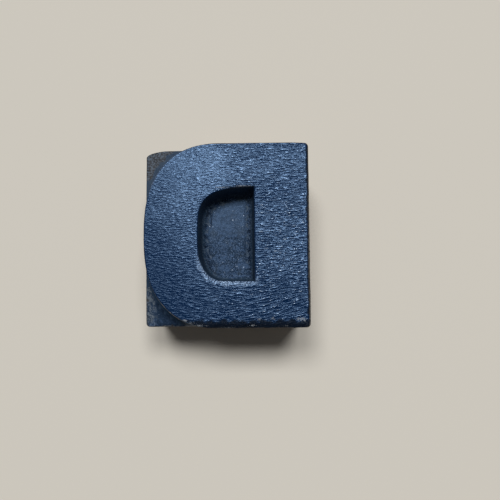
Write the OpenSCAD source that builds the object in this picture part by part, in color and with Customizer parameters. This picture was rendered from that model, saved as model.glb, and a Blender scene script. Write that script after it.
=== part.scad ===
// Printing block: one large wooden letter for a hand press, seen from its printing face.
// It is cut in one piece from a planed blank of end-grain hardwood. A pantograph router
// lowers the wood round the letter and inside it, and a rounded cove runs at the foot of
// every sloping wall. The letter stands mirrored, so that it prints the right way round.
// Dried printing ink lies as thin separate skins on the face, in the counter, which is
// the hollow inside the letter, and on one shoulder, the lowered corner beside the bowl.
// X runs across the letter with its stem at +X, Y up the letter and Z from the foot to
// the face. The origin is the centre of the foot. All sizes are millimetres.

/* [Block] */
// Width of the block, across the letter
block_w = 30.7; // [28:0.1:40]
// Body size, along the height of the letter: eight picas
block_h = 33.74; // [31:0.01:42]
// Height from the foot to the inked face
type_high = 23.32; // [18:0.01:30]
// Depth of the routed wood below the face
cut_depth = 5.5; // [3:0.1:8]

/* [Letter] */
// Width of the straight stem, from the block's side to the counter
stem_w = 10; // [6:0.1:12]
// Width of the bowl's stroke at its widest
bowl_w = 9.8; // [6:0.1:12]
// Height of the upper stroke
upper_stroke = 8.1; // [5:0.05:10]
// Height of the lower stroke
lower_stroke = 8.45; // [5:0.05:10]
// Wood left between the bowl and the side of the block
bearing_w = 0.6; // [0.1:0.05:2]
// Distance from the block's middle to where the bowl's curve begins
bowl_start = 0; // [-3:0.1:4]
// Exponent of the bowl's outer curve, where 2 is an ellipse and more is squarer
bowl_exponent = 2.5; // [2:0.1:4]

/* [Counter] */
// How far the upper curve's centre lies beyond the stem's wall
arch_reach = 5.5; // [0:0.1:8]
// Exponent of the counter's upper curve
arch_exponent = 4.3; // [2:0.1:6]
// How far the lower curve's centre lies inside the stem's wall
heel_reach = 5; // [2:0.1:7]
// Exponent of the counter's lower curve
heel_exponent = 2.5; // [1.8:0.1:4]
// How far the counter's widest place lies below the middle of the block
waist_drop = 0.9; // [-2:0.1:3]

/* [Router cut] */
// Slope of the cut walls, from upright
draft = 4; // [2:1:12]
// Radius of the rounded cove at the foot of the cut walls
cove_r = 1.25; // [0.3:0.05:1.6]

/* [Wear] */
// Rounding of the upper left corner of the block
worn_corner_r = 2.2; // [0.5:0.1:3]
// Rounding of the other upright edges
upright_r = 0.9; // [0.1:0.1:1.5]
// Rounding of the face's lower edge, worn by handling
lower_edge_r = 1.2; // [0.3:0.1:2]
// Rounding of the face's stem edge
stem_edge_r = 0.7; // [0.2:0.1:1.5]
// Rounding of the face's upper edge
upper_edge_r = 0.25; // [0.1:0.05:1]
// Rounding of the edges round the foot
foot_edge_r = 0.3; // [0.1:0.05:1]

/* [Ink] */
// Thickness of the dried ink on the face
face_ink_t = 0.12; // [0.05:0.01:0.3]
// Thickness of the dried ink in the counter and on the shoulder
floor_ink_t = 0.1; // [0.05:0.01:0.3]
// Bare rim between an ink skin and the edge beside it
bare_rim = 0.12; // [0.05:0.01:0.5]
// How far the shoulder's ink reaches up from the lower side of the block
shoulder_ink_h = 6.2; // [3:0.1:10]

/* [Hidden] */
$fn = 48;
curve_steps = 22;
cove_steps = 6;
// How far cutting tools and overlapping blanks run past the wood
past = 2;

east = block_w / 2;
west = -block_w / 2;
north = block_h / 2;
south = -block_h / 2;

face_z = type_high - face_ink_t;
floor_z = face_z - cut_depth;

// The letter's own sides, measured at the face
stem_wall = east - stem_w;
bowl_west = west + bearing_w;
counter_west = bowl_west + bowl_w;
counter_north = north - upper_stroke;
counter_south = south + lower_stroke;

// The cove begins where its circle leaves the sloping wall
cove_start = cut_depth - cove_r * (1 - sin(draft));
foot_run = cove_start * tan(draft) + cove_r * cos(draft);

// Depths and sideways runs of the wall, from the face down to the flat of the cut
wall_profile = concat(
    [[0, 0]],
    [for (i = [0 : cove_steps])
        let (a = draft + (90 - draft) * i / cove_steps)
        [cut_depth - cove_r * (1 - sin(a)), foot_run - cove_r * cos(a)]]
);

// A quarter of a superellipse, from the height x_from round to its westmost point.
// side is 1 for an upper quarter and -1 for a lower one.
function quarter(centre, rx, ry, exponent, x_from, side) =
    let (start = asin(min(1, pow(max(0, centre.x - x_from) / rx, exponent / 2))))
    [for (i = [0 : curve_steps])
        let (a = start + (90 - start) * i / curve_steps)
        [centre.x - rx * pow(sin(a), 2 / exponent),
         centre.y + side * ry * pow(max(0, cos(a)), 2 / exponent)]];

function reversed(list) = [for (i = [len(list) - 1 : -1 : 0]) list[i]];

function without_last(list) = [for (i = [0 : len(list) - 2]) list[i]];

// Outline of the letter, anticlockwise, grown by run on every side.
// Its straight sides pass the block's sides, which trim them.
function letter_outline(run) =
    let (
        reach = bowl_start - bowl_west + run,
        rise = north + run,
        upper = quarter([bowl_start, 0], reach, rise, bowl_exponent, bowl_start, 1),
        lower = quarter([bowl_start, 0], reach, rise, bowl_exponent, bowl_start, -1)
    )
    concat([[east + past, -rise], [east + past, rise]], without_last(upper), reversed(lower));

// Outline of the counter, anticlockwise, drawn in by run on every side.
function counter_outline(run) =
    let (
        wall = stem_wall - run,
        middle = -waist_drop,
        arch = [stem_wall + arch_reach, middle],
        heel = [stem_wall - heel_reach, middle],
        upper = quarter(arch, arch.x - counter_west - run, counter_north - middle - run,
                        arch_exponent, wall, 1),
        lower = quarter(heel, heel.x - counter_west - run, middle - counter_south - run,
                        heel_exponent, heel.x, -1)
    )
    concat([[wall, counter_south + run]], without_last(upper), reversed(lower));

// A closed skin through rings of equal length, the lowest ring first.
module loft(rings) {
    n = len(rings[0]);
    last = len(rings) - 1;
    points = [for (ring = rings) each ring];
    sides = [for (k = [0 : last - 1], i = [0 : n - 1])
        let (j = (i + 1) % n)
        each [[k * n + i, k * n + n + i, k * n + n + j], [k * n + i, k * n + n + j, k * n + j]]];
    foot = [[for (i = [0 : n - 1]) i]];
    head = [[for (i = [n - 1 : -1 : 0]) last * n + i]];
    polyhedron(points = points, faces = concat(foot, sides, head), convexity = 6);
}

function lifted(outline, z) = [for (p = outline) [p.x, p.y, z]];

// Waste of a rounded corner at the point at, whose two sides run inwards along dir.
module corner_waste(at, dir, r) {
    translate(at)
        difference() {
            translate([dir.x > 0 ? -past : -r, dir.y > 0 ? -past : -r])
                square(r + past);
            translate(dir * r)
                circle(r);
        }
}

// Rectangle with a rounding of its own at each corner, from the lower left anticlockwise.
module eased_rect(low, high, radii) {
    difference() {
        translate(low)
            square(high - low);
        corner_waste(low, [1, 1], radii[0]);
        corner_waste([high.x, low.y], [-1, 1], radii[1]);
        corner_waste(high, [-1, -1], radii[2]);
        corner_waste([low.x, high.y], [1, -1], radii[3]);
    }
}

// Plan of the blank, drawn in by inset on every side, with its worn upper left corner.
module block_plan(inset = 0) {
    low = [west + inset, south + inset];
    high = [east - inset, north - inset];
    eased_rect(low, high, [upright_r, upright_r, upright_r, worn_corner_r]);
}

// Planed blank: its plan, its side view and its front view cut through one another.
module blank() {
    intersection() {
        linear_extrude(face_z)
            block_plan();
        rotate([90, 0, 90])
            linear_extrude(block_w + past, center = true)
                eased_rect([south, 0], [north, face_z],
                           [foot_edge_r, foot_edge_r, upper_edge_r, lower_edge_r]);
        rotate([90, 0, 0])
            linear_extrude(block_h + past, center = true)
                eased_rect([west, 0], [east, face_z],
                           [foot_edge_r, foot_edge_r, stem_edge_r, foot_edge_r]);
    }
}

// The letter as the router leaves it, widening from the face down to its foot.
module letter_pillar() {
    loft(concat(
        [lifted(letter_outline(foot_run), floor_z - past)],
        [for (p = reversed(wall_profile)) lifted(letter_outline(p[1]), face_z - p[0])]
    ));
}

// The hollow inside the letter, narrowing from the face down to its flat floor.
module counter_cut() {
    loft(concat(
        [for (p = reversed(wall_profile)) lifted(counter_outline(p[1]), face_z - p[0])],
        [lifted(counter_outline(0), face_z + past)]
    ));
}

module wood_block() {
    color([0.24, 0.20, 0.17])
        difference() {
            intersection() {
                blank();
                union() {
                    translate([west - past, south - past, -past])
                        cube([block_w + 2 * past, block_h + 2 * past, floor_z + past]);
                    letter_pillar();
                }
            }
            counter_cut();
        }
}

// Dried ink on the flat of the face, kept back from the worn edges.
module face_ink() {
    color([0.20, 0.29, 0.42])
        translate([0, 0, face_z])
            linear_extrude(face_ink_t)
                difference() {
                    intersection() {
                        polygon(letter_outline(-bare_rim));
                        translate([west, south + lower_edge_r + bare_rim])
                            square([block_w - stem_edge_r - bare_rim,
                                    block_h - lower_edge_r - upper_edge_r - 2 * bare_rim]);
                    }
                    polygon(counter_outline(-bare_rim));
                }
}

// Dried ink on the flat floor of the counter.
module counter_ink() {
    color([0.21, 0.28, 0.37])
        translate([0, 0, floor_z])
            linear_extrude(floor_ink_t)
                polygon(counter_outline(foot_run + bare_rim));
}

// Dried ink on the lower shoulder, in the corner outside the bowl.
module shoulder_ink() {
    color([0.23, 0.27, 0.33])
        translate([0, 0, floor_z])
            linear_extrude(floor_ink_t)
                difference() {
                    intersection() {
                        block_plan(bare_rim);
                        translate([west, south])
                            square([bowl_start - west, shoulder_ink_h]);
                    }
                    polygon(letter_outline(foot_run + bare_rim));
                }
}

wood_block();
face_ink();
counter_ink();
shoulder_ink();
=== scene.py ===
"""Looks of a printing block: one large wooden letter for a hand press.

The block is one piece of end-grain hardwood. A router has lowered the wood round the mirrored
letter and inside it, and dried ink lies on the face, in the counter and on a shoulder. Plan
sizes and heights are millimetres while a shape is worked out, and every mesh is in metres.
"""

from __future__ import annotations

import logging
import math
from dataclasses import dataclass, field
from enum import Enum
from typing import Any, Callable, Iterable, Sequence

import bmesh
import bpy
import numpy as np
from mathutils import Euler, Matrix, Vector
from mathutils.geometry import delaunay_2d_cdt


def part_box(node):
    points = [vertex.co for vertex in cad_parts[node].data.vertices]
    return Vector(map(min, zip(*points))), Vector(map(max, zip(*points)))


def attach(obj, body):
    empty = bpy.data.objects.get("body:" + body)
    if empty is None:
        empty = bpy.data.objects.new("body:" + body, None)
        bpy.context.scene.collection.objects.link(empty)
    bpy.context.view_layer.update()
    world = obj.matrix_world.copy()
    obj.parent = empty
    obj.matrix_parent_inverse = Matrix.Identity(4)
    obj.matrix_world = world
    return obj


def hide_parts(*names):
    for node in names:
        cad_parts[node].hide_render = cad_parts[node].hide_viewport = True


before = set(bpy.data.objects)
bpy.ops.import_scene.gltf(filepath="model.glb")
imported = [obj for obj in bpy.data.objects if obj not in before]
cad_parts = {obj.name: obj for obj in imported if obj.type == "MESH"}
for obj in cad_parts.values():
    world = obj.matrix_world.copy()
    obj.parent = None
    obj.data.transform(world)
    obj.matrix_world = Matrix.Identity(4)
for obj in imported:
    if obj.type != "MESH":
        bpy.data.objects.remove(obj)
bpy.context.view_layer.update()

log = logging.getLogger("printing_block")

MM = 0.001
BODY = "root"

# Distance, in millimetres, over which a slope is measured
SLOPE_STEP = 0.004
# Points closer than this, in metres, are one point
WELD_GAP = 2e-7
# Points drawn along a quarter of a curve
CURVE_POINTS = 241
# Keeps a length that is divided by away from nothing
TINY = 1e-6
# Inputs of the tree of wrinkles for the thin, pitted ink on the floors
PITTED = {"Height": 0.06, "Pitch": 0.18, "Length": 0.24, "Bend": 0.0, "Swell": 0.05}

Points = np.ndarray
Colour = tuple[float, float, float, float]


class Slot(Enum):
    """The record's material slots."""

    WOOD = "end_grain_wood"
    FACE_INK = "face_ink"
    FLOOR_INK = "floor_ink"


class Node(Enum):
    """The CAD nodes that the pieces stand for."""

    WOOD_BLOCK = "wood_block"
    FACE_INK = "face_ink"
    COUNTER_INK = "counter_ink"
    SHOULDER_INK = "shoulder_ink"

    def low(self) -> Vector:
        """Lowest corner of the node, in millimetres."""
        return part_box(self.value)[0] / MM

    def high(self) -> Vector:
        """Highest corner of the node, in millimetres."""
        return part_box(self.value)[1] / MM


# Small tools for points in plan


def smoothstep(low: float, high: float, value: Points) -> Points:
    """Eases each value from 0 at low to 1 at high."""
    t = np.clip((value - low) / (high - low), 0.0, 1.0)
    return t * t * (3.0 - 2.0 * t)


def walk(path: Sequence[Sequence[float]], spacing: float, close: bool = False) -> Points:
    """Places points evenly along a line of straight pieces.

    Args:
        path: The corners of the line.
        spacing: Rough distance between the new points.
        close: Whether the last point is left out, because another piece starts there.

    Returns:
        The points, from the start of the path to its end.
    """
    corners = np.asarray(path, dtype=float)
    steps = np.hypot(*np.diff(corners, axis=0).T)
    along = np.concatenate([[0.0], np.cumsum(steps)])
    count = max(1, round(along[-1] / spacing))
    stops = np.linspace(0.0, along[-1], count + 1)
    found = np.stack([np.interp(stops, along, corners[:, k]) for k in (0, 1)], axis=1)
    return found[:-1] if close else found


def grid(low: Sequence[float], high: Sequence[float], spacing: Sequence[float]) -> Points:
    """Fills a rectangle with rows of points, every second row moved by half a step.

    Args:
        low: Lowest corner of the rectangle.
        high: Highest corner of the rectangle.
        spacing: Distance between points along X and along Y.

    Returns:
        The points.
    """
    xs = np.arange(low[0], high[0], spacing[0])
    ys = np.arange(low[1], high[1], spacing[1])
    x, y = np.meshgrid(xs, ys)
    x = x + (np.arange(len(ys)) % 2)[:, None] * spacing[0] / 2
    return np.stack([x.ravel(), y.ravel()], axis=1)


@dataclass(frozen=True)
class Waves:
    """A smooth random field in plan, the sum of plane waves of like length.

    Attributes:
        seed: Seed of the random draws.
        length: Middle wavelength, in millimetres.
        stretch: How many times longer the waves are along X than along Y.
        count: Number of waves.
    """

    seed: int
    length: float
    stretch: float = 1.0
    count: int = 28

    def at(self, points: Points) -> Points:
        """Field at each point, mostly between -1.5 and 1.5.

        Args:
            points: Points in plan.

        Returns:
            The field at each point.
        """
        rng = np.random.default_rng(self.seed)
        angle = rng.uniform(0.0, 2.0 * math.pi, self.count)
        pitch = 2.0 * math.pi / (self.length * rng.uniform(0.6, 1.6, self.count))
        phase = rng.uniform(0.0, 2.0 * math.pi, self.count)
        total = np.zeros(len(points))
        for a, k, p in zip(angle, pitch, phase):
            across = points[:, 0] * math.cos(a) / self.stretch + points[:, 1] * math.sin(a)
            total += np.cos(k * across + p)
        return total / math.sqrt(self.count / 2.0)


@dataclass(frozen=True)
class Rub:
    """A place where handling has worn the block or its ink.

    Attributes:
        x: Middle of the place along X.
        y: Middle of the place along Y.
        reach_x: How far it reaches along X.
        reach_y: How far it reaches along Y.
        depth: Strength in its middle, as millimetres of wear or as a mark's number.
    """

    x: float
    y: float
    reach_x: float
    reach_y: float
    depth: float

    def at(self, points: Points) -> Points:
        """Strength at each point.

        Args:
            points: Points in plan.

        Returns:
            The strength at each point.
        """
        far = ((points[:, 0] - self.x) / self.reach_x) ** 2
        far = far + ((points[:, 1] - self.y) / self.reach_y) ** 2
        return self.depth * np.exp(-far)


@dataclass(frozen=True)
class Score:
    """A shallow groove that the router's bit has left in a flat.

    Attributes:
        start: Its first end.
        end: Its last end.
        bow: How far its middle bows out to the right of its direction.
        width: Half its width.
        depth: Its depth.
        taper: Share of its length over which each end runs out.
    """

    start: tuple[float, float]
    end: tuple[float, float]
    bow: float
    width: float
    depth: float
    taper: float = 0.15

    def at(self, points: Points) -> Points:
        """Depth at each point.

        Args:
            points: Points in plan.

        Returns:
            The depth at each point.
        """
        run = np.subtract(self.end, self.start)
        length = float(np.hypot(*run))
        offset = points - np.array(self.start)
        along = offset @ run / length**2
        across = offset @ np.array([run[1], -run[0]]) / length - self.bow * 4.0 * along * (1.0 - along)
        ends = smoothstep(0.0, self.taper, along) * smoothstep(1.0, 1.0 - self.taper, along)
        return self.depth * ends * np.exp(-((across / self.width) ** 2))


def rubbed(places: Iterable[Rub | Score], points: Points) -> Points:
    """Sum of several rubs or scores at each point.

    Args:
        places: The rubs or scores.
        points: Points in plan.

    Returns:
        The sum at each point.
    """
    total = np.zeros(len(points))
    for place in places:
        total += place.at(points)
    return total


# The shape of the block


@dataclass(frozen=True)
class RouterCut:
    """The sloping wall that the router leaves, with a cove at its foot.

    Attributes:
        depth: Depth of the flat below the face.
        draft: Slope of the wall from upright, in degrees.
        cove_r: Radius of the cove.
        rim_runs: Runs of the rings that draw the rounded rim.
        wall_rings: Number of rings down the wall.
        cove_rings: Number of rings round the cove.
    """

    depth: float
    draft: float = 4.0
    cove_r: float = 1.25
    rim_runs: tuple[float, ...] = (-0.6, -0.5, -0.4, -0.3, -0.22, -0.15, -0.1, -0.06, -0.03, -0.005, 0.015)
    wall_rings: int = 8
    cove_rings: int = 10

    @property
    def slope(self) -> float:
        """The draft in radians."""
        return math.radians(self.draft)

    @property
    def cove_start(self) -> float:
        """Run at which the wall meets the cove."""
        start = self.depth - self.cove_r * (1.0 - math.sin(self.slope))
        return start * math.tan(self.slope)

    @property
    def foot_run(self) -> float:
        """Run at which the cove meets the flat."""
        return self.cove_start + self.cove_r * math.cos(self.slope)

    def depth_at(self, run: Points, rim: Points) -> Points:
        """Depth below the face at a run outwards from the edge of the face.

        Args:
            run: Distance out from the edge, negative on the face.
            rim: Radius of the rounded edge at each point.

        Returns:
            The depth at each point.
        """
        # The wall and its cove, as if the edge of the face were sharp
        wall = run / math.tan(self.slope)
        across = np.clip((self.foot_run - run) / self.cove_r, 0.0, 1.0)
        cove = self.depth - self.cove_r * (1.0 - np.sqrt(1.0 - across**2))
        depth = np.where(run < self.cove_start, wall, cove)
        # The arc of the worn edge, which touches the face and the wall
        reach = rim * math.tan((math.pi / 2.0 - self.slope) / 2.0)
        on_rim = run < rim * math.cos(self.slope) - reach
        turn = np.clip(run + reach, 0.0, rim)
        rounded = rim - np.sqrt(np.maximum(rim**2 - turn**2, 0.0))
        return np.where(on_rim, rounded, depth)

    def runs(self) -> list[float]:
        """Runs of the rings that draw the rim, the wall and the cove.

        Returns:
            The runs, from the face outwards.
        """
        # The wall's rings begin below the rim, and those of the cove leave out its two ends
        wall = np.linspace(0.04, self.cove_start, self.wall_rings)
        cove = self.foot_run - self.cove_r * np.cos(np.linspace(0.22, 1.5, self.cove_rings))
        return [*self.rim_runs, *wall, *cove, self.foot_run + 0.2]


@dataclass(frozen=True)
class LetterPlan:
    """Outlines of the mirrored letter and of its counter, at the face.

    Attributes:
        half_w: Half the block's width.
        half_h: Half the block's body size.
        stem_w: Width of the stem.
        bowl_w: Width of the bowl's stroke.
        upper_stroke: Height of the upper stroke.
        lower_stroke: Height of the lower stroke.
        bearing_w: Wood between the bowl and the block's side.
        bowl_start: Where the bowl's curve begins.
        bowl_square: Squareness of the bowl's curve.
        arch_reach: How far the upper curve's centre lies beyond the stem's wall.
        arch_square: Squareness of the counter's upper curve.
        heel_reach: How far the lower curve's centre lies inside the stem's wall.
        heel_square: Squareness of the counter's lower curve.
        waist_drop: How far the counter's widest place lies below the middle.
    """

    half_w: float
    half_h: float
    stem_w: float = 10.0
    bowl_w: float = 9.8
    upper_stroke: float = 8.1
    lower_stroke: float = 8.45
    bearing_w: float = 0.6
    bowl_start: float = 0.0
    bowl_square: float = 2.5
    arch_reach: float = 5.5
    arch_square: float = 4.3
    heel_reach: float = 5.0
    heel_square: float = 2.5
    waist_drop: float = 0.9

    @property
    def bowl_west(self) -> float:
        """Westmost place of the bowl."""
        return self.bearing_w - self.half_w

    @property
    def stem_wall(self) -> float:
        """The counter's straight side."""
        return self.half_w - self.stem_w

    @property
    def counter_west(self) -> float:
        """Westmost place of the counter."""
        return self.bowl_west + self.bowl_w

    @property
    def counter_north(self) -> float:
        """Upper side of the counter."""
        return self.half_h - self.upper_stroke

    @property
    def counter_south(self) -> float:
        """Lower side of the counter."""
        return self.lower_stroke - self.half_h

    @staticmethod
    def quarter(
        centre: tuple[float, float], radii: tuple[float, float], square: float, start: float, side: int
    ) -> Points:
        """A quarter of a superellipse, from the place x = start round to its westmost point.

        Args:
            centre: Centre of the curve.
            radii: Half its width and half its height.
            square: Its squareness, where 2 is an ellipse.
            start: X of the first point.
            side: 1 for an upper quarter and -1 for a lower one.

        Returns:
            Points close together along the curve.
        """
        first = math.asin(min(1.0, max(0.0, (centre[0] - start) / radii[0]) ** (square / 2.0)))
        angle = first + (math.pi / 2.0 - first) * np.linspace(0.0, 1.0, CURVE_POINTS) ** 1.5
        x = centre[0] - radii[0] * np.sin(angle) ** (2.0 / square)
        y = centre[1] + side * radii[1] * np.maximum(np.cos(angle), 0.0) ** (2.0 / square)
        return np.stack([x, y], axis=1)

    @staticmethod
    def growth(dx: Points, dy: Points, radii: tuple[float, float], square: float) -> Points:
        """How far both radii of a superellipse grow for it to pass through each point.

        Args:
            dx: Distance from the centre along X.
            dy: Distance from the centre along Y.
            radii: Half the curve's width and half its height.
            square: Its squareness.

        Returns:
            The growth at each point, negative inside the curve.
        """
        least, most, halvings = 0.01 - min(radii), 30.0, 34
        low = np.full(dx.shape, least)
        high = np.full(dx.shape, most)
        for _ in range(halvings):
            middle = (low + high) / 2.0
            reach = (dx / (radii[0] + middle)) ** square + (dy / (radii[1] + middle)) ** square
            low = np.where(reach < 1.0, low, middle)
            high = np.where(reach < 1.0, middle, high)
        return (low + high) / 2.0

    def bowl_ring(self, run: float, spacing: float) -> Points:
        """Points along the letter's outer edge, grown by run.

        Args:
            run: How far the edge is grown.
            spacing: Rough distance between points.

        Returns:
            The points, from the stem's upper corner to its lower one.
        """
        centre = (self.bowl_start, 0.0)
        radii = (self.bowl_start - self.bowl_west + run, self.half_h + run)
        upper = self.quarter(centre, radii, self.bowl_square, centre[0], 1)
        lower = self.quarter(centre, radii, self.bowl_square, centre[0], -1)[::-1]
        first = [[self.half_w, radii[1]]]
        last = [[self.half_w, -radii[1]]]
        return walk(np.concatenate([first, upper, lower[1:], last]), spacing)

    def counter_ring(self, run: float, spacing: float) -> Points:
        """Points along the counter's edge, drawn in by run, with a point in each corner.

        Args:
            run: How far the edge is drawn in.
            spacing: Rough distance between points.

        Returns:
            The points, once round the counter.
        """
        wall = self.stem_wall - run
        foot = self.counter_south + run
        arch, heel = self.arch(run), self.heel(run)
        upper = self.quarter(*arch, self.arch_square, wall, 1)
        lower = self.quarter(*heel, self.heel_square, heel[0][0], -1)[::-1]
        sides = ([[wall, foot], upper[0]], upper, lower, [lower[-1], [wall, foot]])
        return np.concatenate([walk(side, spacing, close=True) for side in sides])

    def arch(self, run: float) -> tuple[tuple[float, float], tuple[float, float]]:
        """Centre and radii of the counter's upper curve, drawn in by run.

        Args:
            run: How far the curve is drawn in.

        Returns:
            The centre, and half the width and height.
        """
        x = self.stem_wall + self.arch_reach
        radii = (x - self.counter_west - run, self.counter_north + self.waist_drop - run)
        return (x, -self.waist_drop), radii

    def heel(self, run: float) -> tuple[tuple[float, float], tuple[float, float]]:
        """Centre and radii of the counter's lower curve, drawn in by run.

        Args:
            run: How far the curve is drawn in.

        Returns:
            The centre, and half the width and height.
        """
        x = self.stem_wall - self.heel_reach
        radii = (x - self.counter_west - run, -self.waist_drop - self.counter_south - run)
        return (x, -self.waist_drop), radii

    def bowl_run(self, points: Points) -> Points:
        """How far out each point lies from the letter's outer edge, negative inside.

        Args:
            points: Points in plan.

        Returns:
            The run at each point.
        """
        dx = np.maximum(self.bowl_start - points[:, 0], 0.0)
        radii = (self.bowl_start - self.bowl_west, self.half_h)
        return self.growth(dx, np.abs(points[:, 1]), radii, self.bowl_square)

    def counter_run(self, points: Points) -> Points:
        """How far each point lies inside the counter's edge, negative outside.

        Args:
            points: Points in plan.

        Returns:
            The run at each point.
        """
        x, y = points.T
        wall = self.stem_wall - x
        (arch_x, middle), arch_radii = self.arch(0.0)
        (heel_x, _), heel_radii = self.heel(0.0)
        upper = self.growth(np.abs(arch_x - x), np.abs(y - middle), arch_radii, self.arch_square)
        inward = np.maximum(heel_x - x, 0.0)
        lower = self.growth(inward, np.abs(y - middle), heel_radii, self.heel_square)
        return np.minimum(wall, -np.where(y > middle, upper, lower))


@dataclass(frozen=True)
class BlockPlan:
    """The block's outline, a rectangle with worn corners.

    Attributes:
        half_w: Half the width.
        half_h: Half the body size.
        corners: Reach along X, reach along Y and squareness of the corners, from the lower left
            anticlockwise.
        corner_points: Points drawn round each corner.
    """

    half_w: float
    half_h: float
    corners: tuple[tuple[float, float, float], ...] = (
        (0.7, 0.7, 2.0),
        (0.7, 0.7, 2.0),
        (0.7, 0.7, 2.0),
        (4.5, 1.35, 2.0),
    )
    corner_points: int = 33

    def fill(self, step_x: float, step_y: float) -> Points:
        """Rows of points over the rectangle."""
        return grid((-self.half_w, -self.half_h), (self.half_w, self.half_h), (step_x, step_y))

    def placed_corners(self) -> list[tuple[int, int, float, float, float]]:
        """Sides of X and Y, both reaches and squareness of each corner, anticlockwise."""
        sides = ((-1, -1), (1, -1), (1, 1), (-1, 1))
        return [side + corner for side, corner in zip(sides, self.corners)]

    def inset(self, points: Points) -> Points:
        """Distance of each point inside the outline, negative outside.

        Args:
            points: Points in plan.

        Returns:
            The distance at each point.
        """
        x, y = points.T
        near = np.minimum(self.half_w - np.abs(x), self.half_h - np.abs(y))
        for sx, sy, reach_x, reach_y, square in self.placed_corners():
            across = np.maximum(sx * x - (self.half_w - reach_x), 0.0) / reach_x
            up = np.maximum(sy * y - (self.half_h - reach_y), 0.0) / reach_y
            far = np.maximum((across**square + up**square) ** (1.0 / square), TINY)
            steep_x = (across / far) ** (square - 1.0) / reach_x
            steep_y = (up / far) ** (square - 1.0) / reach_y
            turned = (1.0 - far) / np.maximum(np.hypot(steep_x, steep_y), TINY)
            near = np.where((across > 0) & (up > 0), np.minimum(near, turned), near)
        return near

    def ring(self, inset: float, spacing: float) -> Points:
        """Points along the outline drawn in by inset, anticlockwise.

        Args:
            inset: How far the outline is drawn in.
            spacing: Rough distance between points.

        Returns:
            The points, once round the block.
        """
        path: list[list[float]] = []
        for corner, (sx, sy, reach_x, reach_y, square) in enumerate(self.placed_corners()):
            left_x, left_y = max(reach_x - inset, 0.0), max(reach_y - inset, 0.0)
            middle = (sx * (self.half_w - inset - left_x), sy * (self.half_h - inset - left_y))
            first = math.pi + corner * math.pi / 2.0
            for angle in first + np.linspace(0.0, math.pi / 2.0, self.corner_points):
                across = left_x * abs(math.cos(angle)) ** (2.0 / square)
                up = left_y * abs(math.sin(angle)) ** (2.0 / square)
                path.append([middle[0] + sx * across, middle[1] + sy * up])
        path.append(path[0])
        return walk(path, spacing, close=True)


@dataclass(frozen=True)
class Relief:
    """Height of the wood over its whole plan.

    Attributes:
        letter: Outlines of the letter.
        block: Outline of the block.
        cut: The router's wall.
        face_z: Height of the wooden face.
        rim_r: Radius of the letter's edge where it isn't worn.
        edge_r: Rounding of the block's edges at its shoulders.
        uneven: How much both roundings vary from place to place.
        side_fall: How steeply the height falls away just outside the block.
        rim_rubs: Where the letter's edge is worn rounder.
        edge_rubs: Where the block's upper edges are worn rounder.
        scores: Marks of the router's bit in the flats.
    """

    letter: LetterPlan
    block: BlockPlan
    cut: RouterCut
    face_z: float
    rim_r: float = 0.13
    edge_r: float = 0.22
    uneven: float = 0.12
    side_fall: float = 12.0
    rim_rubs: tuple[Rub, ...] = (
        Rub(-9.5, -13.6, 4.5, 2.6, 0.06),
        Rub(0.0, -8.6, 5.2, 1.6, 0.62),
        Rub(-3.8, -6.6, 1.5, 2.2, 0.30),
        Rub(3.6, 9.0, 3.0, 0.8, 0.10),
        Rub(-11.5, 10.5, 5.0, 5.0, 0.12),
    )
    edge_rubs: tuple[Rub, ...] = (
        Rub(4.0, -17.2, 15.0, 2.8, 1.1),
        Rub(15.6, 0.0, 2.0, 30.0, 0.48),
        Rub(15.2, 16.8, 2.0, 1.6, 0.2),
        Rub(-15.0, 16.2, 3.0, 2.2, 0.3),
    )
    scores: tuple[Score, ...] = (
        Score((-2.85, 4.9), (-3.08, 1.4), -0.12, 0.13, 0.24),
        Score((-0.6, -0.1), (2.6, -0.3), 0.1, 0.2, 0.12),
        Score((-2.6, -4.0), (-1.0, -6.4), 0.25, 0.12, 0.05),
        Score((3.55, 6.6), (3.6, -5.6), 0.05, 0.12, 0.06),
    )

    def edge_radius(self, points: Points) -> Points:
        """Rounding of the block's upper edge near each point."""
        wobble = 1.0 + self.uneven * Waves(41, 3.5).at(points)
        return (self.edge_r + rubbed(self.edge_rubs, points)) * np.clip(wobble, 0.6, 1.5)

    def height(self, points: Points) -> Points:
        """Height of the wood at each point.

        Args:
            points: Points in plan.

        Returns:
            The height at each point.
        """
        wobble = np.clip(1.0 + self.uneven * Waves(17, 1.6).at(points), 0.45, 1.9)
        rim = self.rim_r * wobble + rubbed(self.rim_rubs, points)
        outside = self.cut.depth_at(self.letter.bowl_run(points), rim)
        inside = self.cut.depth_at(self.letter.counter_run(points), rim)
        radius = self.edge_radius(points)
        inset = self.block.inset(points)
        turn = np.clip(radius - inset, 0.0, radius)
        fall = radius - np.sqrt(np.maximum(radius**2 - turn**2, 0.0))
        fall = fall + self.side_fall * np.maximum(-inset, 0.0) + rubbed(self.scores, points)
        return self.face_z - outside - inside - fall

    def normal(self, points: Points) -> Points:
        """Upward unit normal of the wood at each point.

        Args:
            points: Points in plan.

        Returns:
            One vector for each point.
        """
        along = np.array([[SLOPE_STEP, 0.0], [0.0, SLOPE_STEP]])
        slope = [self.height(points + d) - self.height(points - d) for d in along]
        raw = np.stack([-slope[0], -slope[1], np.full(len(points), 2.0 * SLOPE_STEP)], axis=1)
        return raw / np.linalg.norm(raw, axis=1)[:, None]


# Meshes


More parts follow.
